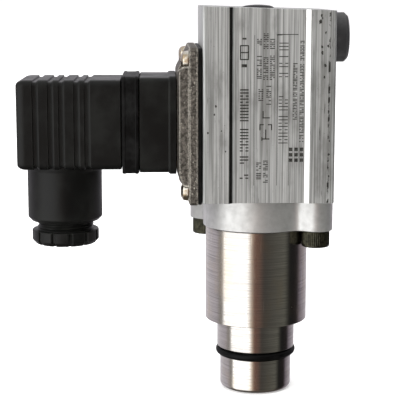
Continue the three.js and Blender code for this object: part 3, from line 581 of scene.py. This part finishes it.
def wire(name, shade):
    """The smooth, slightly uneven sleeve of a stranded wire."""
    shades = (shade, scaled(shade, 0.7))
    return patchy(name, 0, (0.7, 3), (0.35, 0.7), shades, (0.3, 0.7, 0.32, 0.48), (3, 0.01))


LOOKS = {
    "extruded_aluminium": extruded_aluminium(),
    "machined_aluminium": machined_aluminium(),
    "turned_steel": turned_steel(),
    "hardened_steel": turned_steel("hardened_steel", (0.45, 0.44, 0.43), 0.12, 0.25),
    "cast_cover": cast_cover(),
    "black_screw": patchy(      # blackened steel, oily and olive, rubbed on its edges
        "black_screw", 0.9, (0.9, 5), (0.35, 0.7), ((0.025, 0.025, 0.018), (0.075, 0.072, 0.048)),
        (0.3, 0.75, 0.26, 0.5), (6, 0.008), worn=(0.15, 0.4, (0.3, 0.28, 0.22))),
    "plated_screw": plated_screw(),
    "spring_steel": patchy(     # drawn wire and pressed parts, dark and lightly scaled
        "spring_steel", 1, (1.6, 5), (0.35, 0.7), ((0.42, 0.41, 0.39), (0.2, 0.19, 0.18)),
        (0.3, 0.75, 0.22, 0.42), (8, 0.004)),
    "brass": patchy(            # stamped brass, tarnished in patches
        "brass", 1, (1.1, 5), (0.4, 0.72), ((0.75, 0.56, 0.24), (0.36, 0.25, 0.1)),
        (0.3, 0.75, 0.2, 0.44), (6, 0.004)),
    "etched": patchy(           # the burnt, matt bottom of a mark or a chip
        "etched", 0.3, (2.2, 4), (0.35, 0.7), ((0.012, 0.012, 0.01), (0.07, 0.068, 0.06)),
        (0.3, 0.7, 0.55, 0.8), (6, 0.01)),
    "black_plastic": moulded("black_plastic", (0.0035, 0.0036, 0.0034), (0.0085, 0.009, 0.008), 0.36, 0.5),
    "knob_plastic": moulded("knob_plastic", (0.035, 0.035, 0.036), (0.06, 0.06, 0.06), 0.4, 0.55),
    "switch_plastic": moulded("switch_plastic", (0.022, 0.014, 0.01), (0.03, 0.024, 0.02), 0.3, 0.42),
    "rubber": patchy(           # black nitrile with a faint bloom
        "rubber", 0, (0.3, 4), (0.42, 0.75), ((0.002, 0.002, 0.002), (0.008, 0.008, 0.0078)),
        (0.35, 0.7, 0.42, 0.62), (5, 0.01), specular=0.12),
    "brown_wire": wire("brown_wire", (0.11, 0.045, 0.02)),
    "black_wire": wire("black_wire", (0.012, 0.012, 0.012)),
    "blue_wire": wire("blue_wire", (0.03, 0.09, 0.35)),
    "earth_wire": wire("earth_wire", (0.2, 0.42, 0.05)),
}


def dress_cad_nodes():
    """Every carried-over CAD node gets its slot's material."""
    for name, slot in SLOT_OF.items():
        materials = frame["nodes"][name].data.materials
        materials.clear()
        materials.append(LOOKS[slot])


# ---- barrel, nose and piston ----

def barrel():
    low, high = box_mm("barrel")
    radius, top = high.x, high.z
    shoulder = box_mm("flange")[0].z - 0.2
    collar = box_mm("nose")[1].x + 0.2
    chamfer = BARREL.chamfer
    made = turned([
        (collar, low.z), (radius - chamfer, low.z), (radius, low.z + chamfer), (radius, shoulder, 0.2),
        (BARREL.neck, shoulder), (BARREL.neck, top), (BARREL.bush, top),
        (BARREL.bush, top - 5.2), (BARREL.rod, top - 5.2), (BARREL.rod, BARREL.floor),
        (BARREL.spigot, BARREL.floor), (BARREL.spigot, BARREL.collar_depth),
        (collar, BARREL.collar_depth),
    ], 0.1, 3, 144)
    stand_in(made, "barrel", "turned")


def nose():
    ends = box_mm("nose")
    low, upper = ends[0].z, ends[1].x
    lower = upper - NOSE.draw_in
    groove_low, groove_high = NOSE_LEVELS.groove
    seal_low, seal_high = NOSE_LEVELS.seal
    spigot = NOSE_LEVELS.spigot
    made = turned([
        (NOSE.port, low, 0.5), (lower, low, NOSE.round), (lower, groove_low, 0.2),
        (NOSE.groove, groove_low, 0.3), (NOSE.groove, groove_high, 0.3), (upper, groove_high, 0.2),
        (upper, NOSE_LEVELS.collar), (9, NOSE_LEVELS.collar), (9, spigot), (5.4, spigot),
        (5.4, NOSE_LEVELS.head), (NOSE.bore, NOSE_LEVELS.head), (NOSE.bore, seal_high),
        (NOSE.port, seal_high), (NOSE.port, seal_low), (NOSE.bore, seal_low),
        (NOSE.bore, NOSE_LEVELS.port), (NOSE.port, NOSE_LEVELS.port),
    ], 0.1, 4, 144)
    stand_in(made, "nose", "turned")


def o_ring():
    """A moulded ring: nearly round in section, a little uneven where it sits in its groove."""
    section, level = O_RING.section, O_RING.level
    radius = box_mm("nose_o_ring")[1].x - section
    profile = [(p.x, p.y) for p in arc(radius, level, section, 0, TURN, 20)[:-1]]

    def uneven(r, height, angle):
        return r + 0.06 * math.sin(2 * angle + 0.6) * (r > radius)

    made = lathe(profile, 128, uneven)
    for vertex in made.data.vertices:
        angle = math.atan2(vertex.co.y, vertex.co.x)
        vertex.co.z += 0.16 * math.sin(angle + 0.9) + 0.08 * math.sin(3 * angle)
    stand_in(made, "nose_o_ring", "moulded")


def pressure_spring():
    """A wound spring with a dead coil at each end."""
    low, high = box_mm("pressure_spring")
    wire_radius, turns, dead = SPRING.wire, SPRING.turns, SPRING.dead
    mean = high.x - wire_radius
    bottom, top = low.z + wire_radius + SPRING.slack, high.z - wire_radius
    slices = 26
    section = arc(mean, 0, wire_radius, 0, TURN, 10)[:-1]
    rings = []
    for k in range(int(turns * slices) + 1):
        turn = k / slices
        live = min(max((turn - dead) / (turns - 2 * dead), 0), 1)
        wound = min(turn, dead) + max(turn - turns + dead, 0)
        level = bottom + wound * wire_radius + (top - bottom - 2 * dead * wire_radius) * live
        across, up = math.cos(TURN * turn), math.sin(TURN * turn)
        rings.append([(p.x * across, p.x * up, level + p.y) for p in section])
    made = stand_in(skin(rings), "pressure_spring", "wound")
    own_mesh(made)


def piston():
    low, high = box_mm("piston")
    made = turned([
        (0, low.z, 0), (2.95, low.z, 0.4), (2.95, high.z - 2.2, 0.1), (high.x, high.z - 2.2, 0.3),
        (high.x, high.z, 0.3), (0, high.z, 0),
    ], 0.1, steps=64)
    stand_in(made, "piston", "ground")


# ---- flange ----

def flange_outline():
    """A disc with an ear toward each screw, blended in by hollow fillets."""
    radius, ear, fillet = FLANGE.radius, FLANGE.ear, FLANGE.fillet
    blend = math.asin((ear + fillet) / (radius + fillet))
    sites = [centre_mm(node) for node in FLANGE_SCREWS]
    ways = [math.atan2(site.y, site.x) for site in sites]
    reach = radius + fillet
    points = []
    for i, (site, way) in enumerate(zip(sites, ways)):
        before, after = way - blend, way + blend
        turn = blend - math.pi / 2
        hollows = [(reach * math.cos(a), reach * math.sin(a)) for a in (before, after)]
        points += arc(*hollows[0], fillet, before + math.pi, turn, 8)[:-1]
        points += arc(site.x, site.y, ear, way - math.pi / 2, math.pi, 20)
        points += arc(*hollows[1], fillet, way - math.pi / 2, turn, 8)[1:]
        following = ways[(i + 1) % 2] + (TURN if i else 0) - blend
        points += arc(0, 0, radius, after, following - after, 40)[1:-1]
    return points


def flange():
    low, high = box_mm("flange")
    made = prism(flange_outline(), low.z, high.z, 0.3)
    tools = [rod(FLANGE.bore, low.z - PAST, high.z + PAST, 96)]
    for node in FLANGE_SCREWS:
        site = centre_mm(node)
        tools.append(moved(rod(FLANGE.hole, low.z - PAST, high.z + PAST), site.x, site.y))
    left = box_mm("housing")[0].x
    cover_low = box_mm("cover_plate")[0].z
    tools.append(block((left - 10, left), (-30, 30), (cover_low - 0.4, high.z + PAST)))
    stand_in(cut(made, *tools), "flange", "machined")


def flange_screws():
    """Socket cap screws with knurled heads, heads down."""
    seat = box_mm("flange")[0].z - 0.1
    head, shank, knurls = CAP_SCREW.head, CAP_SCREW.shank, CAP_SCREW.knurls
    for node in FLANGE_SCREWS:
        low, high = box_mm(node)
        site = centre_mm(node)

        profile = rounded([
            (0, low.z, 0), (head, low.z, 0.75), (head, low.z + 1.2), (head, seat - 0.8), (head, seat, 0.2),
            (shank, seat, 0.05), (shank, high.z, 0.4), (0, high.z, 0),
        ], 0.1, 5)
        made = lathe(profile, knurls * 8, ridged(head, knurls, 0.16, low.z + 0.7, seat - 0.35, 0.3))
        socket = rod(CAP_SCREW.socket, low.z - PAST, low.z + CAP_SCREW.deep, 6)
        funnel = lathe([(0, low.z - 0.1), (CAP_SCREW.socket + 0.35, low.z - 0.1),
                        (CAP_SCREW.socket - 0.25, low.z + 0.4), (0, low.z + 0.4)], 48)
        made = moved(cut(made, socket, funnel), site.x, site.y)
        stand_in(made, node, "knurled")


# ---- housing ----

def die_lines(outline, spacing, depth):
    """The long straights of an outline, broken up and drawn in unevenly, as a worn die leaves them."""
    draw = random.Random(31)
    made = []
    for i, point in enumerate(outline):
        made.append(point)
        along = outline[(i + 1) % len(outline)] - point
        count = int(along.length / spacing)
        inward = Vector((-along.y, along.x)).normalized()
        for k in range(1, count):
            made.append(point + along * k / count + inward * depth * draw.random() ** 2)
    return made


def housing():
    low, high = box_mm("housing")
    front, back = low.y, high.y
    floor = front + RECESS.depth
    left, right, bevel, corner = RECESS.left, RECESS.right, RECESS.bevel, HOUSING.corner
    outline = rounded([
        (low.x, front), (left, front, 0.2), (left + bevel, floor, 0.12), (right - bevel, floor, 0.12),
        (right, front, 0.2), (high.x, front), (high.x, back), (low.x, back),
    ], corner, 5)
    made = prism(die_lines(outline, 0.42, 0.03), low.z, high.z, HOUSING.edge)
    middle = (low.z + high.z) / 2
    for vertex in made.data.vertices:
        if vertex.co.z > middle:
            vertex.co.z -= HOUSING.fall * (vertex.co.x - low.x) / (high.x - low.x)
    cap, cap_floor, lead = BORES.cap, BORES.cap_floor, BORES.cap_lead
    wide, half, slot, foot = cap + 0.5, POCKET.half, POCKET.slot, POCKET.low
    tools = [
        rod(BARREL.neck + 0.2, low.z - PAST, BORES.neck_top, 64),
        rod(BORES.spring, low.z - PAST, BORES.spring_top, 48),
        rod(BORES.spindle, low.z - PAST, high.z, 48),
        lathe([(0, cap_floor), (cap, cap_floor), (cap, lead[0]), (wide, lead[1]), (wide, high.z + PAST),
               (0, high.z + PAST)], 64),
        block((low.x - PAST, POCKET.x), (-half, half), (foot, POCKET.high)),
        block((POCKET.x - PAST, 0), (-slot, slot), (foot, POCKET.slot_top)),
        along_x(rod(BORES.knob, BORES.tap, high.x + PAST), 0, centre_mm("lock_knob").z),
    ]
    for node in FLANGE_SCREWS:
        site = centre_mm(node)
        tapped = rod(CAP_SCREW.tapped, low.z - PAST, low.z + CAP_SCREW.thread)
        tools.append(moved(tapped, site.x, site.y))
    stand_in(cut(made, *tools), "housing", "extruded")


def bar(mesh, x, z, width, tall):
    """A thin flat bar on the floor of the housing's recess, centred at x, z."""
    floor = box_mm("housing")[0].y + RECESS.depth
    left, right = x - width / 2, x + width / 2
    foot, head = z - tall / 2, z + tall / 2
    slab(mesh, [(left, foot), (right, foot), (right, head), (left, head)], floor - 0.02, floor + 0.1)


def ticks(mesh, x, low, high, tall, draw, line):
    """A row of plain ticks up the face: whole, split or half, never joined, so it spells nothing."""
    z = low
    while z < high:
        kind, side = draw.randrange(7), draw.choice((-1, 1))
        if kind < 3:
            bar(mesh, x, z, tall, line)
        elif kind < 5:
            for offset in (-0.33, 0.33):
                bar(mesh, x + tall * offset, z, tall * 0.34, line)
        elif kind == 5:
            bar(mesh, x + side * tall * 0.25, z, tall * 0.5, line)
        z += tall * 0.36


def label_marks():
    """Rules, rows of ticks, a contact symbol and a crossed box, etched in the recess."""
    mesh = bmesh.new()
    draw = random.Random(5)
    left = RECESS.left
    for across in LABEL_RULES:
        bar(mesh, left + across, 66.4, 0.12, 44)
    for tall, line, rows in LABEL_ROWS:
        for across, low, high in rows:
            ticks(mesh, left + across, low, high, tall, draw, line)
    for across, level, bars in LABEL_SYMBOLS:
        for x, z, width, tall in bars:
            bar(mesh, left + across + x, level + z, width, tall)
    piece(solid(mesh), "label_etching", "extruded_aluminium", look="etched")


def chips():
    """Dark chips and pits in the housing's front slabs: flat beads, uneven in outline."""
    low, high = box_mm("housing")
    draw = random.Random(12)
    corners, tall = 9, 1.5
    from_top = {
        "right": ((4.6, 2.6, 0.55), (4.9, 4.4, 0.8), (4.3, 3.4, 0.4), (3.3, 7.6, 0.45), (4.3, 11.6, 0.55),
                  (4.2, 13.4, 0.6), (2.5, 11.4, 0.5), (3.3, 17, 0.65), (3.5, 20.4, 0.55), (2, 18.6, 0.35),
                  (1.8, 39, 0.4), (1.9, 43, 0.5), (1.8, 49.5, 0.4)),
        "left": ((3.9, 28.8, 0.45), (3.5, 31.2, 0.38), (1.6, 36.6, 0.4), (6.8, 42, 0.3), (5.6, 36, 0.3)),
    }
    mesh = bmesh.new()
    for side, spots in from_top.items():
        for inward, down, size in spots:
            x = high.x - inward if side == "right" else low.x + inward
            ring = []
            for k in range(corners):
                angle = TURN * k / corners
                reach = size * draw.uniform(0.8, 1.5) / 2
                ring.append((x + reach * math.cos(angle), high.z - down + tall * reach * math.sin(angle)))
            slab(mesh, ring, low.y - 0.012, low.y + 0.15)
    piece(solid(mesh), "housing_chips", "extruded_aluminium", look="etched")


# ---- adjustment ----

def adjuster_cap():
    low, high = box_mm("adjuster_cap")
    radius, shoulder = high.x, high.z - 0.9
    dome = [(radius * math.cos(a), shoulder + 0.9 * math.sin(a)) for a in
            [math.pi / 2 * k / 10 for k in range(11)]]
    made = lathe([(0, low.z), (radius - 0.3, low.z), (radius, low.z + 0.3)] + dome, 96)
    notch = block((radius - 0.7, radius + PAST), (-0.9, 0.9), (shoulder - 0.5, high.z))
    made = cut(made, notch)
    stand_in(made, "adjuster_cap", "domed", "black_plastic")


def adjusting_spindle():
    low, high = box_mm("adjusting_spindle")
    radius = high.x
    walls = []
    for k in range(8):
        level = low.z + 0.7 + 0.8 * k
        walls += [(radius, level, 0.05), (radius - 0.45, level + 0.4, 0.05)]
    made = turned([
        (0, low.z, 0), (radius - 0.6, low.z), *walls, (radius - 0.6, high.z), (0, high.z, 0),
    ], 0.1, 2, 72)
    made = cut(made, rod(2.3, high.z - 3.5, high.z + PAST, 6))
    stand_in(made, "adjusting_spindle", "threaded")


def lock_knob():
    low, high = box_mm("lock_knob")
    place = centre_mm("lock_knob")
    radius, collar, flutes = high.y, box_mm("housing")[1].x + 0.2, 60
    back = collar + 0.6

    profile = rounded([
        (0, low.x, 0), (2, low.x, 0.4), (2, collar, 0.05), (3.6, collar), (3.6, back), (radius, back, 0.6),
        (radius, back + 1.2), (radius, high.x - 1.6), (radius, high.x - 1, 0.3), (radius - 1, high.x, 0.3),
        (3.3, high.x, 0.3), (3, high.x - 1.8), (0, high.x - 1.8, 0),
    ], 0.08, 4)
    fluted = ridged(radius, flutes, 0.12, back + 1.2, high.x - 1.4, 0.4)
    made = along_x(lathe(profile, flutes * 6, fluted), place.y, place.z)
    slot = block((high.x - 2.6, high.x - 1.7), (-2.8, 2.8), (place.z - 0.55, place.z + 0.55))
    stand_in(cut(made, slot), "lock_knob", "fluted")


# ---- side cover ----

def cover_plate():
    low, high = box_mm("cover_plate")
    rim = square(low.z, high.z, high.y, COVER.corner)
    foot = square(*COVER.foot, 1.6)
    face = square(*COVER.face, 1.6)
    flange_face, front = COVER.flange, low.x
    made = loft_x([
        (high.x, rim, 0.25), (high.x - 0.25, rim, 0), (flange_face + 0.3, rim, 0),
        (flange_face - 0.2, rim, 0.2), (flange_face - 0.45, rim, 0.9), (front + 0.75, foot, -0.7),
        (front + 0.45, foot, 0), (front + 0.15, face, 0.1), (front, face, 0.5),
    ])
    tools = [window(front - PAST, high.x + PAST, BASE.cavity, centre_mm("connector_base").z)]
    for node in COVER_SCREWS:
        site = centre_mm(node)
        hole = rod(COVER_SCREW.shank + 0.15, front, high.x + PAST)
        counterbore = rod(COVER_SCREW.head + 0.35, front - PAST, flange_face - 0.08, 48)
        tools += [along_x(hole, site.y, site.z), along_x(counterbore, site.y, site.z)]
    stand_in(cut(made, *tools), "cover_plate", "cast")


def cover_gasket():
    """A cut gasket, squeezed out a little between its screws."""
    low, high = box_mm("cover_gasket")
    outline = square(low.z, high.z, high.y, COVER.corner)
    middle = (low.x + high.x) / 2
    made = loft_x([
        (low.x, outline, 0.12), (low.x + 0.15, outline, 0), (middle, outline, -0.04),
        (high.x - 0.15, outline, 0), (high.x, outline, 0.12),
    ])
    half, foot = GASKET.half, centre_mm("connector_base").z - GASKET.below
    opening = block((low.x - PAST, high.x + PAST), (-half, half), (foot, GASKET.top))
    stand_in(cut(made, opening), "cover_gasket", "cut")


def cover_screws():
    """Cross-recessed pan heads, each stopped at its own angle."""
    draw = random.Random(8)
    head, height, shank = COVER_SCREW.head, COVER_SCREW.height, COVER_SCREW.shank
    for node in COVER_SCREWS:
        low, high = box_mm(node)
        site = centre_mm(node)
        seat = low.x + height
        made = turned([
            (0, low.x, 0), (head * 0.55, low.x + 0.04, 0.6), (head * 0.93, low.x + 0.75, 0.9),
            (head, seat - 0.6, 0.5), (head, seat), (shank, seat), (shank, high.x, 0.4), (0, high.x, 0),
        ], 0.06, 5, 64)
        arms = [block(x, y, (low.x - PAST, low.x + 1.3)) for x, y in
                (((-1.55, 1.55), (-0.38, 0.38)), ((-0.38, 0.38), (-1.55, 1.55)))]
        made = cut(made, *arms)
        made.data.transform(Matrix.Rotation(draw.uniform(0, 1.5), 4, "Z"))
        made = along_x(made, site.y, site.z)
        stand_in(made, node, "panhead")


# ---- connector ----

def pin_sites(z):
    reach = PIN_SLOT.reach
    return [(-reach, z), (reach, z), (0, z - reach), (0, z + reach)]


def base_screw_sites():
    lower, upper = centre_mm("base_screw_lower"), centre_mm("base_screw_upper")
    return ("lower", lower.y, lower.z), ("upper", upper.y, upper.z - CROWN_DROP)


def base_screws():
    """Slotted cheese heads sunk in the corners of the base."""
    for name, y, level in base_screw_sites():
        node = f"base_screw_{name}"
        low, high = box_mm(node)
        head, seat = BASE_SCREW.head - 0.15, low.x + 1.6
        made = turned([
            (0, low.x, 0), (head, low.x, 0.4), (head, seat), (BASE_SCREW.hole - 0.1, seat),
            (BASE_SCREW.hole - 0.1, high.x, 0.3), (0, high.x, 0),
        ], 0.08, steps=48)
        made = cut(made, block((-0.3, 0.3), (-3, 3), (low.x - PAST, low.x + 0.7)))
        made = along_x(made, y, level)
        stand_in(made, node, "slotted")


def connector_base():
    low, high = box_mm("connector_base")
    z = centre_mm("connector_base").z
    lip_half, half, floor = high.y, BASE.half, BASE.floor
    lip = square(z - lip_half, z + lip_half - CROWN_DROP, lip_half, 2.2)
    body = square(z - half, z + half - CROWN_DROP, half, 2)
    made = loft_x([
        (high.x, lip, 0.2), (high.x - 0.2, lip, 0), (BASE.lip + 0.35, lip, 0), (BASE.lip, lip, 0.3),
        (BASE.lip - 0.15, body, 0), (low.x + 0.3, body, 0), (low.x, body, 0.3),
    ])
    tools = [
        window(floor, high.x + PAST, BASE.cavity, z),
        along_x(rod(1.75, low.x - PAST, floor + PAST), 0, z),
        along_x(rod(3.2, floor - 2.7, floor + PAST, 6), 0, z),
    ]
    for y, level in pin_sites(z):
        wide, tall = PIN_SLOT.halves if y == 0 else reversed(PIN_SLOT.halves)
        tools.append(block((low.x - PAST, floor + PAST), (y - wide, y + wide), (level - tall, level + tall)))
    for _, y, level in base_screw_sites():
        tools.append(along_x(rod(BASE_SCREW.hole, low.x - PAST, high.x + PAST), y, level))
        tools.append(along_x(rod(BASE_SCREW.head, low.x - PAST, low.x + BASE_SCREW.deep), y, level))
    made = cut(made, *tools)
    stand_in(made, "connector_base", "moulded")


def connector_gasket():
    """The profile seal between the plug and its base, with a raised lip on each rim."""
    low, high = box_mm("connector_gasket")
    z = centre_mm("connector_gasket").z
    half = high.y
    outline = square(z - half, z + half - CROWN_DROP, half, 2.2)
    lip = ((0, 0.35), (0.2, 0.08), (0.5, 0), (0.9, 0), (1.1, 0.14))
    sections = [(high.x - step, outline, amount) for step, amount in lip]
    sections += [(low.x + step, outline, amount) for step, amount in reversed(lip)]
    made = loft_x(sections)
    opening = window(low.x - PAST, high.x + PAST, SEAL_WINDOW, z)
    stand_in(cut(made, opening), "connector_gasket", "moulded")


def plug_sections(low, high, z):
    """Sections of the plug's shell from its open end to its closed one, with grooves round it."""
    half, end = PLUG.half, PLUG.end
    outline = square(z - half, z + half - CROWN_DROP, half, PLUG.corner)
    sections = [(high.x, outline, 0.3), (high.x - 0.3, outline, 0)]
    reach, steep, gentle, depth = GROOVES.width, GROOVES.steep, GROOVES.gentle, GROOVES.depth
    for place in reversed(GROOVES.places):
        x = low.x + place
        right, left = x + reach / 2, x - reach / 2
        sections += [
            (right + gentle / 2, outline, 0), (right, outline, depth * 0.45),
            (right - gentle / 2, outline, depth), (left + steep, outline, depth),
            (left, outline, depth * 0.2), (left - steep, outline, 0),
        ]
    face = low.x + PLUG.short
    for k in range(9):
        angle = math.pi / 2 * k / 8
        x, amount = face + end * (1 - math.sin(angle)), end * 0.55 * (1 - math.cos(angle))
        sections.append((x, outline, amount))
    return sections


def connector_housing():
    low, high = box_mm("connector_housing")
    base = centre_mm("connector_base")
    nut = centre_mm("gland_nut")
    z, x = base.z, nut.x
    floor = z - PLUG.half
    radius, chamfer = BOSS.radius, BOSS.chamfer
    made = loft_x(plug_sections(low, high, z))
    boss = moved(lathe(rounded([
        (0, low.z, 0), (radius - chamfer, low.z, 0.2), (radius, low.z + chamfer, 0.4),
        (radius, floor - 1.2), (radius + 0.3, floor - 0.2), (radius + 0.3, floor + 2), (0, floor + 2, 0),
    ], 0.4, 3), 96), x)
    made = join(made, boss)
    wall = low.x + PLUG.wall
    tools = [
        window(wall, high.x + PAST, PLUG.cavity, z),
        moved(lathe([(0, low.z - PAST), (BOSS.bore + 0.6, low.z - PAST), (BOSS.bore + 0.6, low.z),
                     (BOSS.bore, low.z + 0.6), (BOSS.bore, BOSS.seat), (0, BOSS.seat)], 72), x),
        moved(rod(BOSS.throat, low.z, z, 72), x),
        along_x(rod(PLUG_SCREW.shank + 0.3, low.x - PAST, wall + PAST), 0, z),
        along_x(rod(PLUG_SCREW.head + 0.3, low.x - PAST, low.x + 2.6, 48), 0, z),
    ]
    made = cut(made, *tools)
    piece(made, "connector_shell_moulded", "black_plastic", "plug", ["connector_housing"])


def connector_screw():
    low, high = box_mm("connector_screw")
    place = centre_mm("connector_screw")
    head, shank = PLUG_SCREW.head, PLUG_SCREW.shank
    face, neck = low.x + PLUG.short, low.x + 2.3
    made = turned([
        (0, face, 0), (head - 0.3, face + 0.1, 0.3), (head, face + 0.5, 0.3), (head, neck), (shank, neck),
        (shank, high.x, 0.5), (0, high.x, 0),
    ], 0.08, steps=64)
    half = PLUG_SCREW.slot / 2
    made = cut(made, block((-half, half), (-5, 5), (face - PAST, face + 0.9)))
    made = along_x(made, place.y, place.z)
    stand_in(made, "connector_screw", "slotted")


def gland_nut():
    """The gland's nut: lobed grip, bevelled foot and a helical thread up its neck."""
    low, high = box_mm("gland_nut")
    place = centre_mm("gland_nut")
    radius, neck, shoulder, pitch = high.y, NUT.neck, NUT.shoulder, NUT.pitch
    step = TURN / NUT.lobes

    def shaped(r, level, angle):
        if r > neck + 0.3:
            off = abs((angle + step * 0.1) % step - step / 2) / step
            slot = 1 - min(max((off - 0.06) / 0.06, 0), 1)
            band = min(max((shoulder - 0.15 - level) / 0.25, 0), 1)
            return r - NUT.slot * slot * band
        if r > neck - 0.01 and shoulder + 0.3 < level < high.z - 0.3:
            phase = (level / pitch - angle / TURN) % 1
            return r - 0.55 * (1 - abs(2 * phase - 1))
        return r

    detail = 4
    outline = rounded([
        (NUT.bore, high.z, 0.3), (NUT.bore, low.z, 0.6), (radius - 1.1, low.z, 0.3),
        (radius, low.z + 1.2, 0.4), (radius, shoulder, 0.6), (neck, shoulder, 0.15), (neck, high.z, 0.3),
    ], 0.2, detail)
    climb = [(neck, shoulder + 0.4 + 0.15 * k) for k in range(int((high.z - shoulder - 0.8) / 0.15))]
    last = len(outline) - detail - 1
    profile = outline[:last] + climb + outline[last:]
    made = moved(lathe(profile, NUT.lobes * 24, shaped), place.x, place.y)
    stand_in(made, "gland_nut", "lobed")


def gland_rings():
    """The washer and the ringed rubber grommet inside the gland."""
    x = centre_mm("gland_nut").x
    for node, bore, size in (("gland_washer", 4.9, 0.15), ("gland_grommet", 4.6, 0.6)):
        low, high = box_mm(node)
        radius = high.y
        profile = rounded([(bore, low.z), (radius, low.z), (radius, high.z), (bore, high.z)], size, 5)
        made = stand_in(moved(lathe(profile, 72), x), node, "turned")
    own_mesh(made)


# ---- studio ----

CAMERA = Sizes(place=(-0.03056, -0.39133, 0.10071), down=9.24, turn=-1.91, lens=115)
FLOOR_RADIUS = 40
FLOOR_GAP = 0.0002
FLOOR_PAINT = {
    "Base Color": (0.93, 0.93, 0.93, 1), "Roughness": 0.9, "Specular IOR Level": 0.1,
    "Emission Color": (1, 1, 1, 1), "Emission Strength": 0.3,
}
SURROUNDINGS = (                # degrees round from the label side toward +X, colour of the studio there
    (-180, (0.4, 0.39, 0.41)), (-104, (0.27, 0.255, 0.28)), (-94, (0.16, 0.15, 0.14)),
    (-85, (0.16, 0.15, 0.14)), (-80, (1, 1, 1)), (-22, (1, 1, 1)), (-15, (0.36, 0.29, 0.22)),
    (-8, (0.1, 0.05, 0.038)), (4, (0.085, 0.055, 0.045)), (14, (0.035, 0.033, 0.03)),
    (64, (0.07, 0.07, 0.06)), (78, (0.008, 0.008, 0.008)), (104, (0.012, 0.01, 0.01)),
    (116, (0.13, 0.115, 0.135)), (180, (0.4, 0.39, 0.41)),
)
UNDERSIDE = (0.05, 0.045, 0.04)
CEILING = (0.42, 0.42, 0.42)
WINDOW_STRENGTH = 2.1
LAMPS = (("overhead", (0, 0.1, 1.6), 2.4, 30), ("front_left", (-0.8, -0.9, 0.5), 0.7, 5))


def camera():
    data = bpy.data.cameras.new("camera")
    data.lens = CAMERA.lens
    data.clip_end = 50
    made = placed("camera", data)
    made.location = CAMERA.place
    made.rotation_euler = (math.radians(90 - CAMERA.down), 0, math.radians(CAMERA.turn))
    bpy.context.scene.camera = made


def floor():
    """A plain pale floor just under the nose, kept out of the metal's reflections."""
    mesh = bmesh.new()
    bmesh.ops.create_circle(mesh, cap_ends=True, segments=96, radius=FLOOR_RADIUS)
    bmesh.ops.translate(mesh, verts=mesh.verts, vec=(0, 0, CAD_BOX[0].z - FLOOR_GAP))
    made = from_bmesh("floor", mesh)
    paint = bpy.data.materials.new("floor_paint")
    paint.use_nodes = True
    inputs = paint.node_tree.nodes["Principled BSDF"].inputs
    for key, value in FLOOR_PAINT.items():
        inputs[key].default_value = value
    made.data.materials.append(paint)
    made.visible_glossy = False


def surroundings():
    """A soft studio: a tall white window to the front left, a dim room to the right, pale behind."""
    world = bpy.data.worlds.new("studio")
    world.use_nodes = True
    bpy.context.scene.world = world
    world.node_tree.nodes.clear()
    nodes = Nodes(world.node_tree)
    split = nodes.add("SeparateXYZ")
    nodes.link(nodes.add("TexCoord").outputs["Generated"], split.inputs[0])
    toward = nodes.math("MULTIPLY", split.outputs["Y"], -1)
    azimuth = nodes.math("ARCTAN2", split.outputs["X"], toward)
    ramp = nodes.add("ValToRGB")
    nodes.link(nodes.math("MULTIPLY_ADD", azimuth, 1 / TURN, 0.5), ramp.inputs[0])
    elements = ramp.color_ramp.elements
    while len(elements) < len(SURROUNDINGS):
        elements.new(0.5)
    for element, (degrees, colour) in zip(elements, SURROUNDINGS):
        element.position = degrees / 360 + 0.5
        element.color = (*colour, 1)
    colour = ramp.outputs["Color"]
    for start, end, shade in ((0.45, 0.85, CEILING), (-0.45, -0.8, UNDERSIDE)):
        colour = nodes.mix(nodes.range(split.outputs["Z"], start, end), colour, shade)
    lit = nodes.add("Background")
    lit.inputs["Strength"].default_value = WINDOW_STRENGTH
    nodes.link(colour, lit.inputs["Color"])
    pale = nodes.add("Background")
    pale.inputs["Color"].default_value = (1, 1, 1, 1)
    shown = nodes.add("MixShader")
    nodes.link(nodes.add("LightPath").outputs["Is Camera Ray"], shown.inputs[0])
    nodes.link(lit.outputs[0], shown.inputs[1])
    nodes.link(pale.outputs[0], shown.inputs[2])
    nodes.link(shown.outputs[0], nodes.add("OutputWorld").inputs["Surface"])


def lamps():
    """A broad overhead softbox that whitens the floor, and a front-left one for the black plastic."""
    for name, place, size, watts in LAMPS:
        data = bpy.data.lights.new(name, "AREA")
        data.size = size
        data.energy = watts
        lamp = placed(name, data)
        lamp.location = place
        lamp.rotation_euler = (-Vector(place)).to_track_quat("-Z", "Y").to_euler()
        lamp.visible_glossy = False
        lamp.visible_camera = False


def studio():
    camera()
    floor()
    surroundings()
    lamps()
    bpy.context.scene.view_settings.view_transform = "Standard"


# ---- the object ----

studio()
dress_cad_nodes()
for build in (
    barrel, nose, o_ring, pressure_spring, piston, flange, flange_screws, housing, label_marks, chips,
    adjuster_cap, adjusting_spindle, lock_knob, cover_plate, cover_gasket, cover_screws, base_screws,
    connector_base, connector_gasket, connector_housing, connector_screw, gland_nut, gland_rings,
):
    build()
